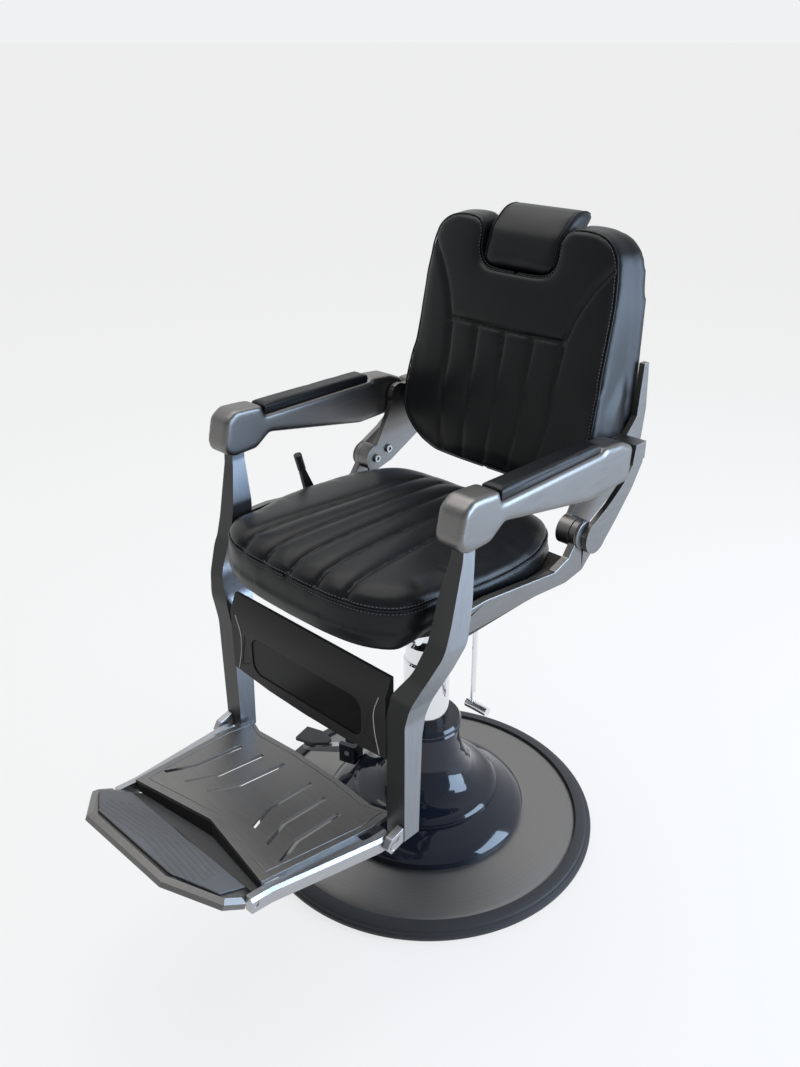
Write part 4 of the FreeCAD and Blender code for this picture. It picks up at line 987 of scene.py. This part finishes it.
def make_back(sizes):
    """The back, with a yoke seam, channels under it and piped and stitched edges."""
    shell_low, shell_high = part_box("back_shell")
    edge = back_edge()
    front = edge + mirrored(reversed(edge[1:-1]))
    rear = [behind(point, shell_high.y - 0.001) for point in front]
    back = loop_solid("back_upholstery", [front, rear], sizes.cell)
    for vertex in back.data.vertices:
        place = vertex.co
        near = 1 - ramp(place.y, back_front(place.z), BACK_CROWN_REACH)
        place.y -= sizes.back_crown * near * max(0.0, 1 - (place.x / BACK_HIGH.x) ** 2)
    held = shell_low.y - BACK_HELD
    inflate(back, BACK_PRESSURE, BACK_SWELL, lambda place: place.y > held)
    relax(back, 5)
    refine(back)
    tree = surface_of(back)
    right = curved([(x, 0, z) for x, z in YOKE_SIDE])
    yoke = right + [Vector((0, 0, YOKE_HEIGHT - YOKE_DIP))] + mirrored(reversed(right))
    seams = [cast_line(tree, yoke, (0, 1, 0))]
    edges = [lay_line(tree, edge), lay_line(tree, mirrored(edge))]
    channels = []
    for i in CHANNELS:
        x = i * sizes.channel_pitch * BACK_CHANNEL_SPREAD
        points = curved([(x * share, 0, z) for share, z in BACK_CHANNEL])
        channels.append(cast_line(tree, points, (0, 1, 0)))
    crease(back, seams, sizes.seam_depth * YOKE_SEAM, sizes.seam_width)
    crease(back, edges, sizes.seam_depth, sizes.seam_width)
    fade_span = YOKE_HEIGHT - BACK_CHANNEL_FOOT
    crease(back, channels, sizes.back_channel_depth, BACK_CHANNEL_WIDTH,
           lambda place: max(BACK_CHANNEL_LEAST, ramp(place.z, BACK_CHANNEL_FOOT, fade_span)))
    mount(back, "backrest", "leather")
    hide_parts("back_cushion", "back_shell")
    tree = surface_of(back)
    rows = [shifted_line(tree, edges[0], sizes.stitch_row), shifted_line(tree, edges[1], -sizes.stitch_row)]
    sew("back_stitching", rows, sizes, "backrest")
    for side, line in zip(SIDES, edges):
        pipe("back_piping_" + side, line, PIPING_SINK, BACK_PIPING, "backrest")


# Headrest
HEADREST_CELL = 0.004
HEADREST_GAP = 0.004
HEADREST_LAP_START = 0.045
HEADREST_LAP_RISE = 0.030
HEADREST_PRESSURE = 3.0
HEADREST_SWELL = 0.0024
HEADREST_HELD = 0.02
HEADREST_SEAM_INSET = 0.007
HEADREST_SEAM_SHARE = 0.7
HEADREST_SEAM_STEPS = 59
HEADREST_SEAM_START = -70
HEADREST_SEAM_TURN = 190
HEADREST_PIPING = 0.0014
HEADREST_PIPING_SINK = 0.0003


def make_headrest(sizes):
    """The headrest, which laps over the top of the back, with a piped seam near each end."""
    low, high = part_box("headrest_cushion")
    headrest = soft_copy("headrest_cushion", "headrest_upholstery", HEADREST_CELL)
    widen = (NOTCH_HALF - HEADREST_GAP) / high.x
    for vertex in headrest.data.vertices:
        place = vertex.co
        place.x *= widen
        upper = ramp(place.z, high.z - HEADREST_LAP_START, HEADREST_LAP_RISE)
        rearward = max(0.0, (place.y - low.y) / (high.y - low.y))
        place.y -= sizes.headrest_swell * max(0.0, 1 - rearward)
        place.y += sizes.headrest_reach * upper * rearward * rearward
    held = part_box("headrest_bar")[0].y - HEADREST_HELD
    inflate(headrest, HEADREST_PRESSURE, HEADREST_SWELL, lambda place: place.y > held)
    relax(headrest, 9)
    refine(headrest)
    tree = surface_of(headrest)
    lines = []
    for side in SIDES.values():
        line = []
        centre = Vector((side * (high.x * widen - HEADREST_SEAM_INSET), high.y - 0.012, low.z + 0.030))
        for step in range(HEADREST_SEAM_STEPS + 1):
            angle = math.radians(HEADREST_SEAM_START + HEADREST_SEAM_TURN * step / HEADREST_SEAM_STEPS)
            ray = Vector((0, -math.cos(angle), math.sin(angle)))
            place, normal, index, distance = tree.ray_cast(centre + ray * 0.3, -ray)
            if place is not None:
                line.append((place, normal))
        lines.append(line)
    crease(headrest, lines, sizes.seam_depth * HEADREST_SEAM_SHARE, sizes.seam_width * HEADREST_SEAM_SHARE)
    mount(headrest, "headrest", "leather")
    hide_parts("headrest_cushion")
    for side, line in zip(SIDES, lines):
        pipe("headrest_piping_" + side, line, HEADREST_PIPING_SINK, HEADREST_PIPING, "headrest")


# Arms
ARM_CELL = 0.003
PAD_PRESSURE = 3.0
PAD_SWELL = 0.0012
PAD_HELD = 0.006


def make_arm_pads():
    """The pads let into the arms."""
    for side in SIDES:
        node = "arm_pad_" + side
        pad = soft_copy(node, "arm_rest_" + side, ARM_CELL)
        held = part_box(node)[0].z + PAD_HELD
        inflate(pad, PAD_PRESSURE, PAD_SWELL, lambda place: place.z < held)
        refine(pad)
        mount(pad, "arm_" + side, "leather")
        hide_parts(node)


def make_arms():
    """Soften the arm castings all over."""
    for side in SIDES:
        node = "arm_" + side
        arm = soft_copy(node, "arm_casting_" + side, ARM_CELL)
        relax(arm, 6)
        smooth_faces(arm.data)
        mount(arm, node, "gunmetal")
        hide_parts(node)


# Footrest
# Painted shade: a dark sheet hung under the foot plate's front edge, where the gap to the toe rest is only in
# shadow
SHADE_LIP_END = 0.018
SHADE_LIP_MIDDLE = 0.031
SHADE_LIP_BEVEL = 0.0012
# How far ahead of the plate's edge, and share of the depth, at each corner of the dark sheet hung there as
# painted shade
SHADE_LIP_PROFILE = ((-0.001, 0), (-0.003, 1), (-0.007, 1), (-0.007, 0))
# Corners of the flap: to the side, and behind the toe rest's hinge
FLAP = ((-0.168, -0.004), (0.168, -0.004), (0.168, 0.036), (0.0, 0.078), (-0.168, 0.036))
FLAP_FACES = (-0.0025, 0.002)
TREAD_CELL = 0.002
TREAD_ROWS = range(-3, 4)
TREAD_REACH = 0.125
TREAD_TAPER = 0.006
TREAD_PITCH = 0.0135
TREAD_SHIFT = 0.012
TREAD_SLOPE = 0.17
GROOVE_DEPTH = 0.0042
GROOVE_WIDTH = 0.0024


def pivot_of(joint):
    return Vector(JOINTS[joint]["pos_m"])


def upward(direction):
    """A direction turned so that it points up."""
    return -direction if direction.z < 0 else direction


def make_shade_lip():
    """A deep dark sheet under the front edge of the foot plate: painted shade that darkens the gap before the
    toe rest.
    """
    pivot = pivot_of("footrest_fold")
    along = (pivot_of("toe_fold") - pivot).normalized()
    up = upward(along.cross(Vector((1, 0, 0))))
    places = [vertex.co - pivot for vertex in frame["nodes"]["foot_plate"].data.vertices]
    front = max(place.dot(along) for place in places)
    floor = min(place.dot(up) for place in places)
    notch = max(place.dot(along) for place in places if abs(place.x) < 0.003)
    end = max(abs(place.x) for place in places if place.dot(along) > front - 0.001)
    work = bmesh.new()
    rings = []
    for x, reach, depth in ((-end, front, SHADE_LIP_END), (0.0, notch, SHADE_LIP_MIDDLE), (end, front, SHADE_LIP_END)):
        middle = pivot + Vector((x, 0, 0))
        rings.append([work.verts.new(middle + along * (reach + ahead) + up * (floor - depth * share))
                      for ahead, share in SHADE_LIP_PROFILE])
    close_rings(work, rings)
    bmesh.ops.recalc_face_normals(work, faces=work.faces)
    shade_lip = mesh_piece("foot_plate_shade_lip", work)
    soft = shade_lip.modifiers.new("Edges", "BEVEL")
    soft.width = SHADE_LIP_BEVEL
    soft.segments = 2
    # the black panel finish on this sheet paints the shade of the gap
    mount(shade_lip, "footrest", "panel")


def make_flap(up, forward):
    """A rubber flap on the toe rest that closes the gap under the foot plate."""
    pivot = pivot_of("toe_fold")
    work = bmesh.new()
    rings = []
    for lift in FLAP_FACES:
        rings.append([work.verts.new(pivot + Vector((x, 0, 0)) - forward * rear + up * lift)
                      for x, rear in FLAP])
    close_rings(work, rings)
    bmesh.ops.recalc_face_normals(work, faces=work.faces)
    mount(mesh_piece("toe_flap", work), "toe_rest", "tread")


def make_tread():
    """The toe rest's rubber tread with its chevron grooves, and the flap behind it."""
    faces = frame["nodes"]["toe_tread"].data.polygons
    up = upward(max(faces, key=lambda face: face.area).normal.copy())
    low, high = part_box("toe_tread")
    tread = soft_copy("toe_tread", "toe_tread_rubber", TREAD_CELL)
    smooth_faces(tread.data)
    tree = surface_of(tread)
    ahead = Vector((0, -1, 0))
    forward = (ahead - up * ahead.dot(up)).normalized()
    make_flap(up, forward)
    centre = (low + high) / 2
    lines = []
    for row in TREAD_ROWS:
        reach = TREAD_REACH - abs(row) * TREAD_TAPER
        apex = centre + forward * (row * TREAD_PITCH - TREAD_SHIFT)
        ends = [apex + Vector((side * reach, 0, 0)) + forward * reach * TREAD_SLOPE for side in (-1, 1)]
        lines.append(cast_line(tree, [ends[0], apex, ends[1]], -up, 0.1))
    crease(tread, lines, GROOVE_DEPTH, GROOVE_WIDTH)
    mount(tread, "toe_rest", "tread")
    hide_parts("toe_tread")


# Trim
SCREW_RADIUS = 0.0085
SCREW_HEIGHT = 0.006
SCREW_SIDES = 24
# Share of the radius and of the height, and whether the ring is a hexagon
SCREW_PROFILE = (
    (1.0, 0.0, False), (1.0, 0.75, False), (0.86, 1.0, False), (0.52, 1.0, True), (0.5, 0.45, True))
# Places of the hinge screws from the hinge's pin, backward and up
HINGE_SCREWS = ((0.0, 0.0), (0.034, 0.012))
# Half width and drop from the top of the calf panel along a bead
CALF_BEAD = ((0.182, 0.036), (0.170, 0.072), (0.172, 0.110), (0.182, 0.150))
CALF_BEAD_RADIUS = 0.0011
CALF_FRONT = -0.33


def screw_head(name, place, axis):
    """A round screw head with a hexagon socket."""
    axis = Vector(axis)
    across = axis.orthogonal().normalized()
    beside = axis.cross(across)
    work = bmesh.new()
    rings = []
    for girth, lift, hexagon in SCREW_PROFILE:
        ring = []
        for i in range(SCREW_SIDES):
            angle = math.tau * i / SCREW_SIDES
            reach = SCREW_RADIUS * girth
            if hexagon:
                reach *= math.cos(math.pi / 6) / math.cos(angle % (math.pi / 3) - math.pi / 6)
            direction = across * math.cos(angle) + beside * math.sin(angle)
            ring.append(work.verts.new(Vector(place) + direction * reach + axis * (SCREW_HEIGHT * lift)))
        rings.append(ring)
    close_rings(work, rings)
    return mesh_piece(name, work)


def make_trim():
    """Screws of the back's hinges and the bright beads beside the calf panel."""
    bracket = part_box("back_bracket_left")
    pin_low, pin_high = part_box("hinge_pins")
    pin = (pin_low + pin_high) / 2
    for name, side in SIDES.items():
        face = side * bracket[0].x
        for number, (back, up) in enumerate(HINGE_SCREWS, 1):
            place = (face, pin.y + back, pin.z + up)
            screw = screw_head("hinge_screw_%s_%d" % (name, number), place, (-side, 0, 0))
            mount(screw, "backrest", "steel")
    tree = surface_of(frame["nodes"]["calf_panel"])
    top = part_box("calf_panel")[1].z
    for name, side in SIDES.items():
        points = curved([(side * x, CALF_FRONT, top - drop) for x, drop in CALF_BEAD])
        line = cast_line(tree, points, (0, 1, 0))
        if not line:
            raise RuntimeError("the bead misses the calf panel")
        trim = bead("calf_bead_" + name, [place for place, normal in line], CALF_BEAD_RADIUS)
        mount(trim, "leg_frame", "silver")


# Stage
FLOOR_RADIUS = 150.0
REAR_DIRECTION = (-0.66, 0.72, 0.20)
ROOM_TINT = (0.98, 0.99, 1.0)
CEILING_TINT = (1.0, 0.98, 0.95)


def seen_rays(tree):
    """1 for the rays that show the background: from the camera, in a reflection or through glass."""
    path = add_node(tree, "ShaderNodeLightPath").outputs
    shown = calculate(tree, "MAXIMUM", path["Is Camera Ray"], path["Is Glossy Ray"])
    return calculate(tree, "MAXIMUM", shown, path["Is Transmission Ray"])


def make_floor(studio):
    """A wide pale floor, lifted towards white where it is seen, with the chair's shadow kept."""
    work = bmesh.new()
    bmesh.ops.create_circle(work, cap_ends=True, segments=64, radius=FLOOR_RADIUS)
    floor = mesh_piece("floor", work)
    material, tree, shader = new_material("pale_floor", Roughness=0.9, Specular_IOR_Level=0.1)
    cloud = noise(tree, object_place(tree), 2.0)
    pale = blend_colours(tree, cloud, opaque(studio.floor), shade(studio.floor, 0.99))
    tree.links.new(pale, shader["Base Color"])
    glow = add_node(tree, "ShaderNodeEmission", None, Color=opaque(studio.backdrop), Strength=1.0)
    lift = calculate(tree, "MULTIPLY", seen_rays(tree), studio.floor_lift)
    mix = add_node(tree, "ShaderNodeMixShader", None, _0=lift,
                   _1=tree.nodes["Principled BSDF"].outputs[0], _2=glow.outputs[0])
    tree.links.new(mix.outputs[0], tree.nodes["Material Output"].inputs["Surface"])
    floor.data.materials.append(material)


def make_world(studio):
    """A room that is pale behind the chair and dim on the side of the camera."""
    world = bpy.data.worlds.new("room")
    world.use_nodes = True
    bpy.context.scene.world = world
    tree = world.node_tree
    direction = add_node(tree, "ShaderNodeTexCoord").outputs["Generated"]
    rearward = add_node(tree, "ShaderNodeVectorMath", {"operation": "DOT_PRODUCT"}, _0=direction,
                        _1=REAR_DIRECTION).outputs["Value"]
    pale = add_node(tree, "ShaderNodeMapRange", {"interpolation_type": "SMOOTHSTEP"}, Value=rearward,
                    _1=-0.5, _2=0.65, _3=studio.room_front, _4=studio.room_rear).outputs[0]
    background = tree.nodes["Background"].inputs
    background["Color"].default_value = opaque(ROOM_TINT)
    tree.links.new(pale, background["Strength"])


def aim(holder, place, direction):
    """Stand a lamp or a camera at a place, turned to a direction."""
    holder.location = place
    holder.rotation_mode = "QUATERNION"
    holder.rotation_quaternion = Vector(direction).to_track_quat("-Z", "Y")


def add_lamp(name, place, target, size, watts, rgb):
    """A square lamp that shines at a target."""
    lamp = bpy.data.lights.new(name, "AREA")
    lamp.shape = "SQUARE"
    lamp.size = size
    lamp.energy = watts
    lamp.color = rgb[:3]
    aim(new_piece(name, lamp), place, Vector(target) - Vector(place))


def make_stage(studio):
    """The floor, the room, two lamps and the camera of the photograph."""
    scene = bpy.context.scene
    scene.view_settings.view_transform = "Standard"
    make_floor(studio)
    make_world(studio)
    add_lamp("ceiling", (-0.6, 0.2, 3.2), (0, 0, 0.6), 2.4, studio.ceiling_power, CEILING_TINT)
    add_lamp("window", (2.4, 1.3, 1.1), (0.2, 0, 0.6), 1.8, studio.window_power, studio.window)
    camera = bpy.data.cameras.new("photo_camera")
    camera.lens = studio.camera_lens
    holder = new_piece("photo_camera", camera)
    aim(holder, studio.camera_place, studio.camera_aim)
    scene.camera = holder


# Operators
class CHAIR_OT_finish_frame(bpy.types.Operator):
    """Give every solid of the frame its material and soft edges"""
    bl_idname = "chair.finish_frame"
    bl_label = "Finish Frame"

    def execute(self, context):
        finish_frame()
        return {"FINISHED"}


class CHAIR_OT_seat(bpy.types.Operator):
    """Upholster the seat with fanned channels and a stitched side seam"""
    bl_idname = "chair.seat"
    bl_label = "Upholster Seat"

    def execute(self, context):
        make_seat(context.scene.chair_upholstery)
        return {"FINISHED"}


class CHAIR_OT_back(bpy.types.Operator):
    """Upholster the back with its yoke, channels and piped edges"""
    bl_idname = "chair.back"
    bl_label = "Upholster Back"

    def execute(self, context):
        make_back(context.scene.chair_upholstery)
        return {"FINISHED"}


class CHAIR_OT_headrest(bpy.types.Operator):
    """Upholster the headrest that wraps over the back"""
    bl_idname = "chair.headrest"
    bl_label = "Upholster Headrest"

    def execute(self, context):
        make_headrest(context.scene.chair_upholstery)
        return {"FINISHED"}


class CHAIR_OT_arm_pads(bpy.types.Operator):
    """Upholster the pads let into the arms"""
    bl_idname = "chair.arm_pads"
    bl_label = "Upholster Arm Pads"

    def execute(self, context):
        make_arm_pads()
        return {"FINISHED"}


class CHAIR_OT_arms(bpy.types.Operator):
    """Soften the arm castings"""
    bl_idname = "chair.arms"
    bl_label = "Soften Arms"

    def execute(self, context):
        make_arms()
        return {"FINISHED"}


class CHAIR_OT_tread(bpy.types.Operator):
    """Mould the toe rest's tread and flap, and hang a dark sheet of painted shade under the foot plate's
    front edge
    """
    bl_idname = "chair.tread"
    bl_label = "Mould Toe Tread"

    def execute(self, context):
        make_shade_lip()
        make_tread()
        return {"FINISHED"}


class CHAIR_OT_trim(bpy.types.Operator):
    """Add the hinge screws and the beads beside the calf panel"""
    bl_idname = "chair.trim"
    bl_label = "Add Trim"

    def execute(self, context):
        make_trim()
        return {"FINISHED"}


class CHAIR_OT_stage(bpy.types.Operator):
    """Set the floor, the lights and the camera"""
    bl_idname = "chair.stage"
    bl_label = "Set Stage"

    def execute(self, context):
        make_stage(context.scene.chair_studio)
        return {"FINISHED"}


OPERATORS = (
    CHAIR_OT_finish_frame, CHAIR_OT_seat, CHAIR_OT_back, CHAIR_OT_headrest, CHAIR_OT_arm_pads,
    CHAIR_OT_arms, CHAIR_OT_tread, CHAIR_OT_trim, CHAIR_OT_stage)
SETTINGS = {"chair_upholstery": Upholstery, "chair_finishes": Finishes, "chair_studio": Studio}


class CHAIR_PT_sidebar(bpy.types.Panel):
    """Lists the chair's pieces and settings"""
    bl_idname = "CHAIR_PT_sidebar"
    bl_label = "Barber Chair"
    bl_space_type = "VIEW_3D"
    bl_region_type = "UI"
    bl_category = "Barber Chair"

    def draw(self, context):
        for operator in OPERATORS:
            self.layout.operator(operator.bl_idname)
        for group in SETTINGS:
            settings = getattr(context.scene, group)
            box = self.layout.box()
            for name in settings.__annotations__:
                box.prop(settings, name)


CLASSES = (*SETTINGS.values(), *OPERATORS, CHAIR_PT_sidebar)


def register():
    for kind in CLASSES:
        bpy.utils.register_class(kind)
    for name, kind in SETTINGS.items():
        setattr(bpy.types.Scene, name, PointerProperty(type=kind))


def unregister():
    for name in SETTINGS:
        delattr(bpy.types.Scene, name)
    for kind in reversed(CLASSES):
        bpy.utils.unregister_class(kind)


def main():
    register()
    bpy.ops.chair.finish_frame()
    bpy.ops.chair.seat()
    bpy.ops.chair.back()
    bpy.ops.chair.headrest()
    bpy.ops.chair.arm_pads()
    bpy.ops.chair.arms()
    bpy.ops.chair.tread()
    bpy.ops.chair.trim()
    bpy.ops.chair.stage()


if __name__ == "__main__":
    main()
